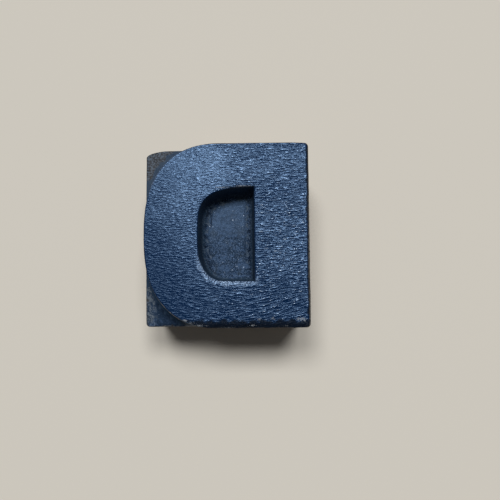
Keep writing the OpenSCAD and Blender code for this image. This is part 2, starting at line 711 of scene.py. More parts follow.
@dataclass
class Shell:
    """A mesh that grows patch by patch.

    Attributes:
        verts: Arrays of vertices, in millimetres.
        faces: Faces, as lists of indices.
        marks: Named numbers, one array for each patch of vertices.
    """

    verts: list[Points] = field(default_factory=list)
    faces: list[Sequence[int]] = field(default_factory=list)
    marks: dict[str, list[Points]] = field(default_factory=dict)

    def count(self) -> int:
        """Number of vertices so far."""
        return sum(len(patch) for patch in self.verts)

    def add(self, verts: Points, faces: Iterable[Sequence[int]], **marks: Points | float) -> int:
        """Adds a patch of vertices and faces.

        Args:
            verts: The new vertices.
            faces: Faces that count from the patch's first vertex.
            **marks: A number, or one for each vertex, under its name.

        Returns:
            The index of the patch's first vertex.
        """
        start = self.count()
        self.verts.append(verts)
        self.faces.extend([start + i for i in face] for face in faces)
        for name, value in marks.items():
            self.marks.setdefault(name, []).append(np.broadcast_to(value, len(verts)))
        return start

    def to_object(self, name: str) -> bpy.types.Object:
        """Makes the Blender object, smooth and in metres.

        Args:
            name: The piece's name.

        Returns:
            The new object, linked to the scene.
        """
        mesh = bpy.data.meshes.new(name)
        mesh.from_pydata((np.concatenate(self.verts) * MM).tolist(), [], self.faces)
        mesh.update()
        for mark, values in self.marks.items():
            layer = mesh.attributes.new(mark, "FLOAT", "POINT")
            layer.data.foreach_set("value", np.concatenate(values).astype(np.float32))
        mesh.shade_smooth()
        piece = bpy.data.objects.new(name, mesh)
        bpy.context.scene.collection.objects.link(piece)
        return piece


def triangulate(
    points: Points,
    keep: Callable[[Points], Points] | None = None,
    ratio: float = 1.0,
    edges: Sequence[tuple[int, int]] = (),
) -> tuple[Points, list[list[int]]]:
    """Joins points in plan with triangles that face up.

    Args:
        points: The points.
        keep: Says for the middle of each triangle whether it is kept; all are if it is None.
        ratio: How many times longer the triangles are along X than along Y.
        edges: Pairs of points that a triangle's side must join.

    Returns:
        The points as they came out, and the triangles.
    """
    scaled = points * [1.0, ratio]
    found = delaunay_2d_cdt([Vector(p) for p in scaled.tolist()], list(edges), [], 0, 1e-6)
    verts = np.array([v[:] for v in found[0]]) / [1.0, ratio]
    faces = np.array([f for f in found[2] if len(f) == 3])
    a, b, c = (verts[faces[:, k]] for k in range(3))
    turn = (b - a)[:, 0] * (c - a)[:, 1] - (b - a)[:, 1] * (c - a)[:, 0]
    faces[turn < 0] = faces[turn < 0][:, ::-1]
    if keep is not None:
        faces = faces[keep((a + b + c) / 3.0)]
    return verts, faces.tolist()


def spread(points: Points, gap: float) -> Points:
    """Leaves one point in each small square, the first that came.

    Args:
        points: The points.
        gap: Side of the squares.

    Returns:
        The points that are left.
    """
    cells = np.round(points / gap).astype(np.int64)
    _, first = np.unique(cells, axis=0, return_index=True)
    return points[np.sort(first)]


def border(faces: Sequence[Sequence[int]]) -> list[tuple[int, int]]:
    """Sides that only one face has, in that face's direction."""
    sides = {(face[i], face[(i + 1) % len(face)]) for face in faces for i in range(len(face))}
    return [side for side in sides if (side[1], side[0]) not in sides]


# Trees of nodes


class Graph:
    """Adds nodes to one tree and joins them."""

    def __init__(self, tree: bpy.types.NodeTree) -> None:
        """Starts on an empty tree."""
        self.tree = tree

    def feed(self, socket: bpy.types.NodeSocket, value: Any) -> None:
        """Links a socket to another, or sets its number.

        Args:
            socket: The input.
            value: A socket or a number.
        """
        if isinstance(value, bpy.types.NodeSocket):
            self.tree.links.new(value, socket)
        else:
            socket.default_value = value

    def add(self, kind: str, inputs: dict[str | int, Any] | None = None, **settings: Any) -> bpy.types.Node:
        """Adds a node.

        Args:
            kind: Blender's name of the node's type.
            inputs: Numbers or sockets for its inputs, by name or place.
            **settings: The node's own properties.

        Returns:
            The node.
        """
        node = self.tree.nodes.new(kind)
        for name, value in settings.items():
            setattr(node, name, value)
        for key, value in (inputs or {}).items():
            self.feed(node.inputs[key], value)
        return node

    def math(self, operation: str, *values: Any) -> bpy.types.NodeSocket:
        """Result of a sum on one, two or three numbers."""
        return self.add("ShaderNodeMath", dict(enumerate(values)), operation=operation).outputs[0]

    def times(self, a: Any, b: Any) -> bpy.types.NodeSocket:
        """Product of two numbers."""
        return self.math("MULTIPLY", a, b)

    def between(self, factor: Any, start: float, end: float) -> bpy.types.NodeSocket:
        """A number that goes from start to end while the factor goes from 0 to 1."""
        return self.math("MULTIPLY_ADD", factor, end - start, start)

    def vector(self, operation: str, a: Any, b: Any) -> bpy.types.NodeSocket:
        """Result of a sum on two vectors."""
        return self.add("ShaderNodeVectorMath", {0: a, 1: b}, operation=operation).outputs[0]

    def scale(self, vector: Any, factor: Any) -> bpy.types.NodeSocket:
        """A vector times a number."""
        inputs = {0: vector, "Scale": factor}
        return self.add("ShaderNodeVectorMath", inputs, operation="SCALE").outputs[0]

    def noise(
        self, place: Any, size: Sequence[float], detail: float = 2.0, seed: Any = 0.0
    ) -> bpy.types.NodeSocket:
        """Soft noise from 0 to 1, whose lumps have a size along X, Y and Z.

        Args:
            place: Where the noise is read.
            size: Size of a lump along each axis, where 0 keeps it the same all along.
            detail: How many finer layers it has.
            seed: Chooses another noise.

        Returns:
            The socket with the noise.
        """
        pitch = tuple(1.0 / s if s else 0.0 for s in size)
        inputs = {"Vector": self.vector("MULTIPLY", place, pitch), "W": seed, "Scale": 1.0, "Detail": detail}
        return self.add("ShaderNodeTexNoise", inputs, noise_dimensions="4D").outputs[0]

    def ease(self, value: Any, low: float, high: float) -> bpy.types.NodeSocket:
        """Eases a number from 0 at low to 1 at high.

        Args:
            value: The number.
            low: Where the result leaves 0.
            high: Where the result reaches 1.

        Returns:
            The eased number.
        """
        inputs = {"Value": value, "From Min": low, "From Max": high}
        node = self.add("ShaderNodeMapRange", inputs, interpolation_type="SMOOTHSTEP")
        return node.outputs["Result"]

    def blend(self, factor: Any, a: Any, b: Any) -> bpy.types.NodeSocket:
        """Mixes two colours.

        Args:
            factor: Share of the second colour.
            a: The first colour.
            b: The second colour.

        Returns:
            The mixed colour.
        """
        node = self.add("ShaderNodeMix", data_type="RGBA")
        sockets = [s for s in node.inputs if s.enabled]
        for socket, value in zip(sockets, (factor, a, b)):
            self.feed(socket, value)
        return next(s for s in node.outputs if s.enabled)


class GeometryTree:
    """A Geometry Nodes tree with named inputs, which ends in one material."""

    def __init__(self, name: str, inputs: dict[str, float | int]) -> None:
        """Makes the tree and its inputs.

        Args:
            name: The tree's name.
            inputs: Named sizes, with the value that each starts with.
        """
        self.tree = bpy.data.node_groups.new(name, "GeometryNodeTree")
        self.graph = Graph(self.tree)
        face = self.tree.interface
        face.new_socket("Geometry", in_out="INPUT", socket_type="NodeSocketGeometry")
        face.new_socket("Geometry", in_out="OUTPUT", socket_type="NodeSocketGeometry")
        self.keys: dict[str, str] = {}
        for label, value in inputs.items():
            kind = "NodeSocketInt" if isinstance(value, int) else "NodeSocketFloat"
            socket = face.new_socket(label, in_out="INPUT", socket_type=kind)
            socket.default_value = value
            self.keys[label] = socket.identifier
        finish = face.new_socket("Material", in_out="INPUT", socket_type="NodeSocketMaterial")
        self.keys["Material"] = finish.identifier
        self.given = self.graph.add("NodeGroupInput").outputs

    def place(self) -> bpy.types.NodeSocket:
        """Position of each point, in millimetres."""
        spot = self.graph.add("GeometryNodeInputPosition").outputs[0]
        return self.graph.vector("MULTIPLY", spot, (1.0 / MM,) * 3)

    def mark(self, name: str) -> bpy.types.NodeSocket:
        """A named number on each point."""
        node = self.graph.add("GeometryNodeInputNamedAttribute", {"Name": name}, data_type="FLOAT")
        return node.outputs["Attribute"]

    def store(self, geometry: Any, name: str, value: Any) -> bpy.types.NodeSocket:
        """Keeps a number on each point under a name.

        Args:
            geometry: The geometry.
            name: The name.
            value: The number.

        Returns:
            The geometry that carries the number.
        """
        inputs = {"Geometry": geometry, "Name": name, "Value": value}
        node = self.graph.add("GeometryNodeStoreNamedAttribute", inputs, data_type="FLOAT", domain="POINT")
        return node.outputs[0]

    def raise_surface(self, geometry: Any, height: Any) -> bpy.types.NodeSocket:
        """Moves each point along its normal by a height in millimetres.

        Args:
            geometry: The geometry.
            height: The height.

        Returns:
            The raised geometry.
        """
        normal = self.graph.add("GeometryNodeInputNormal").outputs[0]
        offset = self.graph.scale(normal, self.graph.times(height, MM))
        inputs = {"Geometry": geometry, "Offset": offset}
        return self.graph.add("GeometryNodeSetPosition", inputs).outputs[0]

    def end(self, geometry: Any) -> None:
        """Makes instances real, sets the material and closes the tree.

        Args:
            geometry: What the tree has made.
        """
        real = self.graph.add("GeometryNodeRealizeInstances", {0: geometry}).outputs[0]
        inputs = {"Geometry": real, "Material": self.given["Material"]}
        dressed = self.graph.add("GeometryNodeSetMaterial", inputs).outputs[0]
        self.graph.add("NodeGroupOutput", {0: dressed})

    def apply(self, piece: bpy.types.Object, finish: bpy.types.Material, **inputs: float | int) -> None:
        """Runs the tree on a piece and leaves a plain mesh.

        Args:
            piece: The piece, whose mesh is replaced.
            finish: Its material.
            **inputs: Values of named inputs.
        """
        modifier = piece.modifiers.new(self.tree.name, "NODES")
        modifier.node_group = self.tree
        modifier[self.keys["Material"]] = finish
        for label, value in inputs.items():
            modifier[self.keys[label]] = value
        bpy.context.view_layer.update()
        depsgraph = bpy.context.evaluated_depsgraph_get()
        evaluated = piece.evaluated_get(depsgraph)
        mesh = bpy.data.meshes.new_from_object(evaluated, preserve_all_data_layers=True, depsgraph=depsgraph)
        piece.modifiers.remove(modifier)
        mesh.name = piece.name
        piece.data = mesh
        mesh.shade_smooth()


def wrinkle_tree() -> GeometryTree:
    """Fine wavy ridges of dried ink, which run across the letter and break into lumps in places.

    Returns:
        The tree, which also leaves the mark crest, from 0 in a furrow to 1 on a ridge.
    """
    sizes = {"Height": 0.125, "Pitch": 0.21, "Length": 0.88, "Warp": 1.0, "Bend": 0.010, "Swell": 0.06}
    tree = GeometryTree("ink_wrinkles", {**sizes, "Seed": 3.0})
    g, given = tree.graph, tree.given
    seeds = {n: g.math("ADD", given["Seed"], float(n)) for n in (5, 7, 9, 13, 20, 30)}
    place = g.vector("MULTIPLY", tree.place(), (1.0, 1.0, 0.0))
    across, up = g.add("ShaderNodeSeparateXYZ", {0: place}).outputs[:2]
    low, stem, head = g.ease(up, -5.0, -11.0), g.ease(across, 0.0, 7.0), g.ease(up, 7.0, 12.0)
    # The ridges wander a little, and curve up towards both ends of the lower stroke
    wander = [g.math("SUBTRACT", g.noise(place, (2.6, 1.7, 0.0), seed=seeds[n]), 0.5) for n in (20, 30)]
    shift = g.add("ShaderNodeCombineXYZ", {0: wander[0], 1: g.times(wander[1], 0.6)}).outputs[0]
    bent = g.vector("ADD", place, g.scale(shift, given["Warp"]))
    aside = g.math("ADD", across, 2.0)
    bend = g.times(g.times(aside, aside), given["Bend"])
    bend = g.times(bend, g.ease(up, -3.0, -12.0))
    bent = g.vector("SUBTRACT", bent, g.add("ShaderNodeCombineXYZ", {1: bend}).outputs[0])
    # They are longer on the stem and along the lower stroke
    length = g.times(given["Length"], g.math("MULTIPLY_ADD", stem, 0.7, g.between(low, 1.0, 1.6)))
    size = g.add("ShaderNodeCombineXYZ", {0: length, 1: given["Pitch"], 2: 1.0}).outputs[0]
    ridges = g.noise(g.vector("DIVIDE", bent, size), (1.0, 1.0, 0.0), detail=1.5, seed=given["Seed"])
    lumps = g.noise(g.scale(bent, g.math("DIVIDE", 0.75, given["Pitch"])), (1.0, 1.0, 0.0), seed=seeds[7])
    broken = g.noise(place, (6.0, 5.0, 0.0), seed=seeds[13])
    share = g.times(g.between(g.ease(broken, 0.4, 0.62), 0.04, 0.21), g.between(low, 1.0, 0.4))
    crest = g.math("MULTIPLY_ADD", g.math("SUBTRACT", lumps, ridges), share, ridges)
    crest = g.ease(crest, 0.40, 0.70)
    # They are highest on the stem and calmer along the head
    patchy = g.noise(place, (7.0, 5.0, 0.0), seed=seeds[5])
    strength = g.between(g.ease(patchy, 0.3, 0.7), 0.13, 0.61)
    strength = g.math("MULTIPLY_ADD", g.ease(across, -6.0, 8.0), 0.68, strength)
    strength = g.times(g.math("MULTIPLY_ADD", low, 0.2, strength), g.between(head, 1.0, 0.7))
    rise = g.times(g.math("SUBTRACT", crest, 0.35), g.times(strength, given["Height"]))
    broad = g.noise(place, (3.4, 1.6, 0.0), seed=seeds[9])
    swell = g.times(g.math("SUBTRACT", broad, 0.5), given["Swell"])
    total = g.times(g.math("ADD", rise, swell), tree.mark("free"))
    kept = tree.store(given["Geometry"], "crest", crest)
    tree.end(tree.raise_surface(kept, total))
    return tree


def grain_tree() -> GeometryTree:
    """Fine grooves of planed end-grain wood, which stand upright on its sides.

    Returns:
        The tree.
    """
    sizes = {"Height": 0.03, "Pitch": 0.55, "Length": 18.0, "Saw height": 0.02}
    tree = GeometryTree("wood_grain", {**sizes, "Seed": 7.0})
    g, given = tree.graph, tree.given
    place = tree.place()
    pitch, length = given["Pitch"], given["Length"]
    size = g.add("ShaderNodeCombineXYZ", {0: pitch, 1: pitch, 2: length}).outputs[0]
    fibre = g.noise(g.vector("DIVIDE", place, size), (1.0, 1.0, 1.0), detail=2.5, seed=given["Seed"])
    broad = g.noise(place, (4.0, 4.0, 9.0), seed=g.math("ADD", given["Seed"], 4.0))
    rise = g.times(g.math("SUBTRACT", fibre, 0.5), given["Height"])
    swell = g.times(g.math("SUBTRACT", broad, 0.5), given["Saw height"])
    total = g.times(g.math("ADD", rise, swell), tree.mark("free"))
    tree.end(tree.raise_surface(given["Geometry"], total))
    return tree


def dust_tree() -> GeometryTree:
    """Specks of paper dust scattered on a surface, which isn't kept itself.

    Returns:
        The tree.
    """
    sizes = {"Density": 1.0, "Least size": 0.02, "Largest size": 0.07}
    tree = GeometryTree("paper_dust", {**sizes, "Seed": 11})
    g, given = tree.graph, tree.given
    per_area = g.math("DIVIDE", g.times(given["Density"], tree.mark("dusty")), MM * MM)
    inputs = {"Mesh": given["Geometry"], "Density": per_area, "Seed": given["Seed"]}
    spots = g.add("GeometryNodeDistributePointsOnFaces", inputs).outputs["Points"]
    speck = g.add("GeometryNodeMeshIcoSphere", {"Radius": MM, "Subdivisions": 1}).outputs["Mesh"]
    turn = {"Max": (math.tau,) * 3, "Seed": given["Seed"]}
    turn = g.add("FunctionNodeRandomValue", turn, data_type="FLOAT_VECTOR").outputs[0]
    shape = {"Min": (0.5, 0.5, 0.3), "Max": (1.5, 1.0, 0.6), "Seed": g.math("ADD", given["Seed"], 1.0)}
    shape = g.add("FunctionNodeRandomValue", shape, data_type="FLOAT_VECTOR").outputs[0]
    # A number's least value, largest value and seed are this node's inputs 2, 3 and 8
    sizes = {2: given["Least size"], 3: given["Largest size"], 8: given["Seed"]}
    size = g.add("FunctionNodeRandomValue", sizes, data_type="FLOAT").outputs[1]
    inputs = {"Points": spots, "Instance": speck, "Rotation": turn, "Scale": g.scale(shape, size)}
    tree.end(g.add("GeometryNodeInstanceOnPoints", inputs).outputs[0])
    return tree


# Finishes


class Finish:
    """A procedural material for one kind of surface."""

    name = "finish"

    def build(self) -> bpy.types.Material:
        """Makes the material.

        Returns:
            The material.
        """
        material = bpy.data.materials.new(self.name)
        material.use_nodes = True
        graph = Graph(material.node_tree)
        place = graph.add("ShaderNodeTexCoord").outputs["Object"]
        self.paint(graph, material.node_tree.nodes["Principled BSDF"], graph.scale(place, 1.0 / MM))
        return material

    def paint(self, g: Graph, shader: bpy.types.Node, place: bpy.types.NodeSocket) -> None:
        """Feeds the shader of a material's tree from the place on the object, in millimetres."""
        raise NotImplementedError

    @staticmethod
    def mark(g: Graph, name: str) -> bpy.types.NodeSocket:
        """A named number on the surface."""
        return g.add("ShaderNodeAttribute", attribute_name=name).outputs["Fac"]

    @staticmethod
    def bump(g: Graph, height: Any, distance: float) -> bpy.types.NodeSocket:
        """Normal of a surface with fine relief, whose height is in millimetres."""
        inputs = {"Height": height, "Distance": distance * MM, "Strength": 1.0}
        return g.add("ShaderNodeBump", inputs).outputs[0]


@dataclass(frozen=True)
class DriedInk(Finish):
    """Blue-black ink dried on the face, with a blue sheen.

    It is painted with light and shade: painted shade darkens it towards the lower left and in the
    furrows, and painted light lifts it towards the upper right and on the crests. The lighter-toned
    ink has the stronger sheen, which breaks into small glints on the stem. One mark says where a
    painted highlight lies on the rounded rims, one where the ink is thin, which on the lower rolled
    edge is also painted shade, and one where it is scuffed down to grey flecks.

    Attributes:
        name: The material's name.
        deep: Painted shade in the furrows and towards the lower left.
        body: Ridges.
        crest: Painted highlight on the crests.
        rubbed_off: Stained wood where the ink has worn thin, also painted shade on the lower rolled edge.
        painted_highlight: Painted highlight on the rounded rims.
        scuffed: Flecks of a scuff.
        bared: Chips in the thin ink.
        sheen_tint: Tint of the sheen.
        glint_tint: Tint of the glints.
        painted_tone_direction: Direction in which painted light grows and painted shade fades.
        roughness: Its least and its greatest.
        relief: Height of the finest relief.
    """

    name: str = "dried_ink"
    deep: Colour = (0.0015, 0.013, 0.047, 1.0)
    body: Colour = (0.010, 0.033, 0.094, 1.0)
    crest: Colour = (0.046, 0.074, 0.126, 1.0)
    rubbed_off: Colour = (0.0035, 0.0060, 0.0110, 1.0)
    painted_highlight: Colour = (0.500, 0.690, 0.980, 1.0)
    scuffed: Colour = (0.210, 0.228, 0.250, 1.0)
    bared: Colour = (0.056, 0.057, 0.062, 1.0)
    sheen_tint: Colour = (0.40, 0.64, 1.0, 1.0)
    glint_tint: Colour = (0.70, 0.85, 1.0, 1.0)
    painted_tone_direction: tuple[float, float, float] = (0.55, 1.0, 0.0)
    roughness: tuple[float, float] = (0.14, 0.36)
    relief: float = 0.05

    def paint(self, g: Graph, shader: bpy.types.Node, place: bpy.types.NodeSocket) -> None:
        """Feeds the shader.

        Args:
            g: The material's tree.
            shader: Its shader.
            place: Place on the object, in millimetres.
        """
        crest, thin_and_shade_mark = self.mark(g, "crest"), self.mark(g, "thin")
        fine = g.noise(place, (0.50, 0.13, 0.50), detail=2.0)
        fleck = g.noise(place, (0.17, 0.13, 0.17), detail=2.0, seed=8.0)
        broad = g.noise(place, (7.0, 3.6, 7.0), detail=3.0, seed=2.0)
        # The tone rises from 0 in the lower left to 1 in the upper right, in broad patches; in the colour it
        # is painted light and shade
        ahead = g.add("ShaderNodeVectorMath", {0: place, 1: self.painted_tone_direction}, operation="DOT_PRODUCT")
        slope = g.math("MULTIPLY_ADD", broad, 9.0, g.math("SUBTRACT", ahead.outputs["Value"], 4.5))
        tone = g.ease(slope, -18.0, 8.0)
        # Thin ink and painted shade break up in flecks, only where the mark puts them
        thin = g.math("MULTIPLY_ADD", g.math("SUBTRACT", fleck, 0.5), 1.6, thin_and_shade_mark)
        thin = g.times(g.ease(thin, 0.15, 0.75), g.ease(thin_and_shade_mark, 0.0, 0.2))
        # Painted shade in the furrows and a painted highlight on the crests, with more painted shade where
        # the tone is low
        base = g.blend(g.ease(crest, 0.22, 0.78), self.deep, self.body)
        lit = g.times(g.ease(crest, 0.45, 1.0), g.between(tone, 0.2, 1.0))
        base = g.blend(lit, base, self.crest)
        base = g.blend(g.between(tone, 0.9, 0.0), base, self.deep)
        # Painted highlight on the rounded rims, broken into flecks
        painted_light = g.times(self.mark(g, "painted_light"), g.ease(fleck, 0.47, 0.60))
        base = self.wear(g, place, g.blend(painted_light, base, self.painted_highlight), thin)
        g.feed(shader.inputs["Base Color"], base)
        # Glints sit on the crests, strongest on the stem and weaker along the head
        across, up = g.add("ShaderNodeSeparateXYZ", {0: place}).outputs[:2]
        head = g.ease(up, 5.0, 11.0)
        spot = g.noise(place, (0.60, 0.14, 0.60), detail=1.5, seed=21.0)
        glint = g.times(g.ease(spot, 0.48, 0.64), g.ease(crest, 0.4, 0.85))
        glint = g.times(glint, g.between(g.ease(across, -9.0, 8.0), 0.1, 1.0))
        glint = g.times(glint, g.between(head, 1.0, 0.4))
        rough = g.times(g.between(fine, *self.roughness), g.between(glint, 1.0, 0.9))
        g.feed(shader.inputs["Roughness"], g.math("MULTIPLY_ADD", thin, 0.35, rough))
        gloss = g.times(self.sheen(g, crest, tone, across), g.between(head, 1.0, 0.87))
        gloss = g.times(g.math("MULTIPLY_ADD", glint, 0.9, gloss), g.between(thin, 1.0, 0.2))
        g.feed(shader.inputs["Specular IOR Level"], gloss)
        g.feed(shader.inputs["Specular Tint"], g.blend(glint, self.sheen_tint, self.glint_tint))
        g.feed(shader.inputs["Normal"], self.bump(g, fine, self.relief))

    def wear(self, g: Graph, place: Any, base: Any, thin: Any) -> bpy.types.NodeSocket:
        """Darkens the ink's colour where it is thin and where shade is painted, and greys it where it is
        scuffed.

        Args:
            g: The material's tree.
            place: Place on the object, in millimetres.
            base: Colour of the whole ink.
            thin: Thin ink and painted shade, from 0 to 1.

        Returns:
            The worn colour.
        """
        chip = g.noise(place, (0.19, 0.15, 0.19), detail=2.0, seed=12.0)
        base = g.blend(g.times(thin, 0.9), base, self.rubbed_off)
        base = g.blend(g.times(thin, g.times(g.ease(chip, 0.54, 0.7), 0.5)), base, self.bared)
        scuff = self.mark(g, "worn")
        flaked = g.ease(g.math("MULTIPLY_ADD", g.math("SUBTRACT", chip, 0.5), 2.4, scuff), 0.5, 0.7)
        return g.blend(g.times(flaked, g.ease(scuff, 0.05, 0.25)), base, self.scuffed)

    def sheen(self, g: Graph, crest: Any, tone: Any, across: Any) -> bpy.types.NodeSocket:
        """Gloss without the glints, more uneven on the stem and weaker at the bowl's far side.

        Args:
            g: The material's tree.
            crest: Height in the wrinkles, from 0 to 1.
            tone: How pale the ink is, from 0 to 1.
            across: Place across the letter, in millimetres.

        Returns:
            The specular level.
        """
        stem = g.ease(across, -4.0, 6.0)
        share = g.math("MULTIPLY_ADD", crest, g.between(stem, 0.7, 1.15), 0.7)
        gloss = g.times(g.between(tone, 0.28, 0.7), g.math("MULTIPLY_ADD", stem, -0.3, share))
        return g.times(gloss, g.between(g.ease(across, -14.0, 0.0), 0.68, 1.0))


@dataclass(frozen=True)
class DustyInk(Finish):
    """Thin old ink on the routed floors, greyed by dust.

    One mark says where painted light lightens it, one where it is rubbed grey, and one where
    painted shade darkens it beside a wall and in a groove.

    Attributes:
        name: The material's name.
        deep: Ink with no dust on it, also painted shade beside walls, in grooves and beside the bowl.
        body: Ink under a breath of dust.
        earth: Brownish patches.
        dust: Grains of dust.
        pale: Tint of the painted light.
        rubbed: Wood that shows through.
        sheen_tint: Tint of its weak sheen.
        specular: Its specular level.
        roughness: Its least and its greatest.
        relief: Height of the finest relief.
    """

    name: str = "dusty_ink"
    deep: Colour = (0.006, 0.014, 0.032, 1.0)
    body: Colour = (0.038, 0.070, 0.136, 1.0)
    earth: Colour = (0.032, 0.042, 0.054, 1.0)
    dust: Colour = (0.150, 0.210, 0.310, 1.0)
    pale: Colour = (0.080, 0.130, 0.220, 1.0)
    rubbed: Colour = (0.130, 0.152, 0.172, 1.0)
    sheen_tint: Colour = (0.4, 0.66, 1.0, 1.0)
    specular: float = 0.22
    roughness: tuple[float, float] = (0.5, 0.8)
    relief: float = 0.08

    def paint(self, g: Graph, shader: bpy.types.Node, place: bpy.types.NodeSocket) -> None:
        """Feeds the shader.

        Args:
            g: The material's tree.
            shader: Its shader.
            place: Place on the object, in millimetres.
        """
        fine = g.noise(place, (0.2, 0.18, 0.2), detail=2.0)
        broad = g.noise(place, (2.4, 1.8, 2.4), detail=3.0, seed=3.0)
        patch = g.noise(place, (1.6, 2.4, 1.6), detail=3.0, seed=5.0)
        lumps = g.noise(place, (0.5, 0.42, 0.5), detail=2.0, seed=11.0)
        # Bare ink shows in the gaps of a thin, lumpy veil of dust
        mottle = g.math("MULTIPLY_ADD", broad, 0.25, g.times(fine, 0.35))
        mottle = g.math("MULTIPLY_ADD", lumps, 0.4, mottle)
        base = g.blend(g.ease(mottle, 0.43, 0.58), self.deep, self.body)
        base = g.blend(g.times(g.ease(patch, 0.52, 0.72), 0.4), base, self.earth)
        base = g.blend(g.times(g.ease(fine, 0.54, 0.68), 0.75), base, self.dust)
        # Painted light, which lifts the shadow of the counter's upper wall
        base = g.blend(g.times(self.mark(g, "painted_light"), 0.3), base, self.pale)
        # Where the ink is rubbed, it darkens and grey wood comes through in flecks
        worn = self.mark(g, "worn")
        base = g.blend(g.times(worn, 0.6), base, self.deep)
        flecks = g.math("MULTIPLY_ADD", lumps, 0.4, g.times(fine, 0.6))
        base = g.blend(g.times(worn, g.ease(flecks, 0.44, 0.58)), base, self.rubbed)
        # Painted shade beside the walls, in the router's grooves and beside the bowl
        base = g.blend(g.times(self.mark(g, "thin"), 0.9), base, self.deep)
        g.feed(shader.inputs["Base Color"], base)
        g.feed(shader.inputs["Roughness"], g.between(fine, *self.roughness))
        shader.inputs["Specular IOR Level"].default_value = self.specular
        shader.inputs["Specular Tint"].default_value = self.sheen_tint
        g.feed(shader.inputs["Normal"], self.bump(g, fine, self.relief))


@dataclass(frozen=True)
class StainedWood(Finish):
    """End-grain hardwood: rings and pores above and below, upright fibres on the sides.

    The mark stain says how far oil and ink have soaked in, film where a thin skin of ink lies on
    the wood, dusty where lint and dust have settled, and rub where handling has bared it.

    Attributes:
        name: The material's name.
        early: Pale wood of a ring.
        late: Dark wood of a ring.
        pore: Pores.
        soaked: Wood soaked with oil and ink.
        film: The skin of ink.
        lint: Lint and dust.
        bared: Wood bared by handling.
        heart: From the middle of the tree's rings to the block's origin.
        ring_w: Width of a ring.
        specular: Its specular level.
        roughness: Its least and its greatest.
        relief: Height of the finest relief.
    """

    name: str = "stained_end_grain"
    early: Colour = (0.230, 0.130, 0.068, 1.0)
    late: Colour = (0.125, 0.068, 0.036, 1.0)
    pore: Colour = (0.018, 0.011, 0.008, 1.0)
    soaked: Colour = (0.020, 0.021, 0.025, 1.0)
    film: Colour = (0.015, 0.036, 0.070, 1.0)
    lint: Colour = (0.112, 0.146, 0.194, 1.0)
    bared: Colour = (0.290, 0.265, 0.225, 1.0)
    heart: tuple[float, float, float] = (22.0, 46.0, 0.0)
    ring_w: float = 1.7
    specular: float = 0.16
    roughness: tuple[float, float] = (0.40, 0.65)
    relief: float = 0.04

    def paint(self, g: Graph, shader: bpy.types.Node, place: bpy.types.NodeSocket) -> None:
        """Feeds the shader.

        Args:
            g: The material's tree.
            shader: Its shader.
            place: Place on the object, in millimetres.
        """
        # Rings round the heart of the tree, then fibres and pores along Z
        warp = g.noise(place, (6.0, 6.0, 60.0), seed=1.0)
        from_heart = g.vector("ADD", g.vector("MULTIPLY", place, (1.0, 1.0, 0.0)), self.heart)
        far = g.add("ShaderNodeVectorMath", {0: from_heart}, operation="LENGTH").outputs["Value"]
        ring = g.math("FRACT", g.math("DIVIDE", g.math("MULTIPLY_ADD", warp, 5.0, far), self.ring_w))
        fibre = g.noise(place, (0.12, 0.12, 7.0), detail=3.0, seed=2.0)
        cloud = g.noise(place, (3.6, 3.6, 5.5), detail=4.0, seed=9.0)
        fleck = g.noise(place, (0.24, 0.2, 0.3), detail=2.0, seed=6.0)
        wood = g.blend(g.times(g.ease(ring, 0.2, 1.0), 0.7), self.early, self.late)
        wood = g.blend(g.times(g.ease(fibre, 0.42, 0.66), 0.6), wood, self.late)
        pores = g.noise(place, (0.12, 0.12, 5.0), detail=1.0, seed=4.0)
        wood = g.blend(g.times(g.ease(pores, 0.6, 0.72), 0.85), wood, self.pore)
        # What lies on the wood, from the stain to what handling has bared again
        uneven = g.math("MULTIPLY_ADD", cloud, 0.9, g.between(fibre, -0.7, -0.2))
        soak = g.math("ADD", self.mark(g, "stain"), uneven)
        wood = g.blend(g.ease(soak, 0.15, 0.95), wood, self.soaked)
        film = g.math("ADD", self.mark(g, "film"), g.between(fleck, -0.25, 0.25))
        wood = g.blend(g.ease(film, 0.25, 0.75), wood, self.film)
        tuft = g.noise(place, (0.36, 0.28, 0.4), detail=3.0, seed=16.0)
        lint = g.times(self.mark(g, "dusty"), g.ease(tuft, 0.42, 0.62))
        wood = g.blend(lint, wood, self.lint)
        rub = g.times(self.mark(g, "rub"), g.ease(fibre, 0.3, 0.6))
        wood = g.blend(rub, wood, self.bared)
        g.feed(shader.inputs["Base Color"], wood)
        g.feed(shader.inputs["Roughness"], g.between(fibre, *self.roughness))
        shader.inputs["Specular IOR Level"].default_value = self.specular
        relief = g.math("SUBTRACT", fibre, g.times(g.ease(pores, 0.6, 0.75), 0.6))
        g.feed(shader.inputs["Normal"], self.bump(g, relief, self.relief))


@dataclass(frozen=True)
class PaperDust(Finish):
    """Pale specks of paper dust, tinted blue as painted light from a cool sky.

    Attributes:
        name: The material's name.
        light: The palest specks, with the painted blue of cool light.
        grey: The greyest specks.
        roughness: Its roughness.
    """

    name: str = "paper_dust"
    light: Colour = (0.56, 0.70, 0.90, 1.0)
    grey: Colour = (0.20, 0.26, 0.35, 1.0)
    roughness: float = 0.6

    def paint(self, g: Graph, shader: bpy.types.Node, place: bpy.types.NodeSocket) -> None:
        """Feeds the shader.

        Args:
            g: The material's tree.
            shader: Its shader.
            place: Place on the object, in millimetres.
        """
        mottle = g.noise(place, (0.7, 0.7, 0.7), detail=1.0)
        g.feed(shader.inputs["Base Color"], g.blend(g.ease(mottle, 0.4, 0.6), self.grey, self.light))
        shader.inputs["Roughness"].default_value = self.roughness


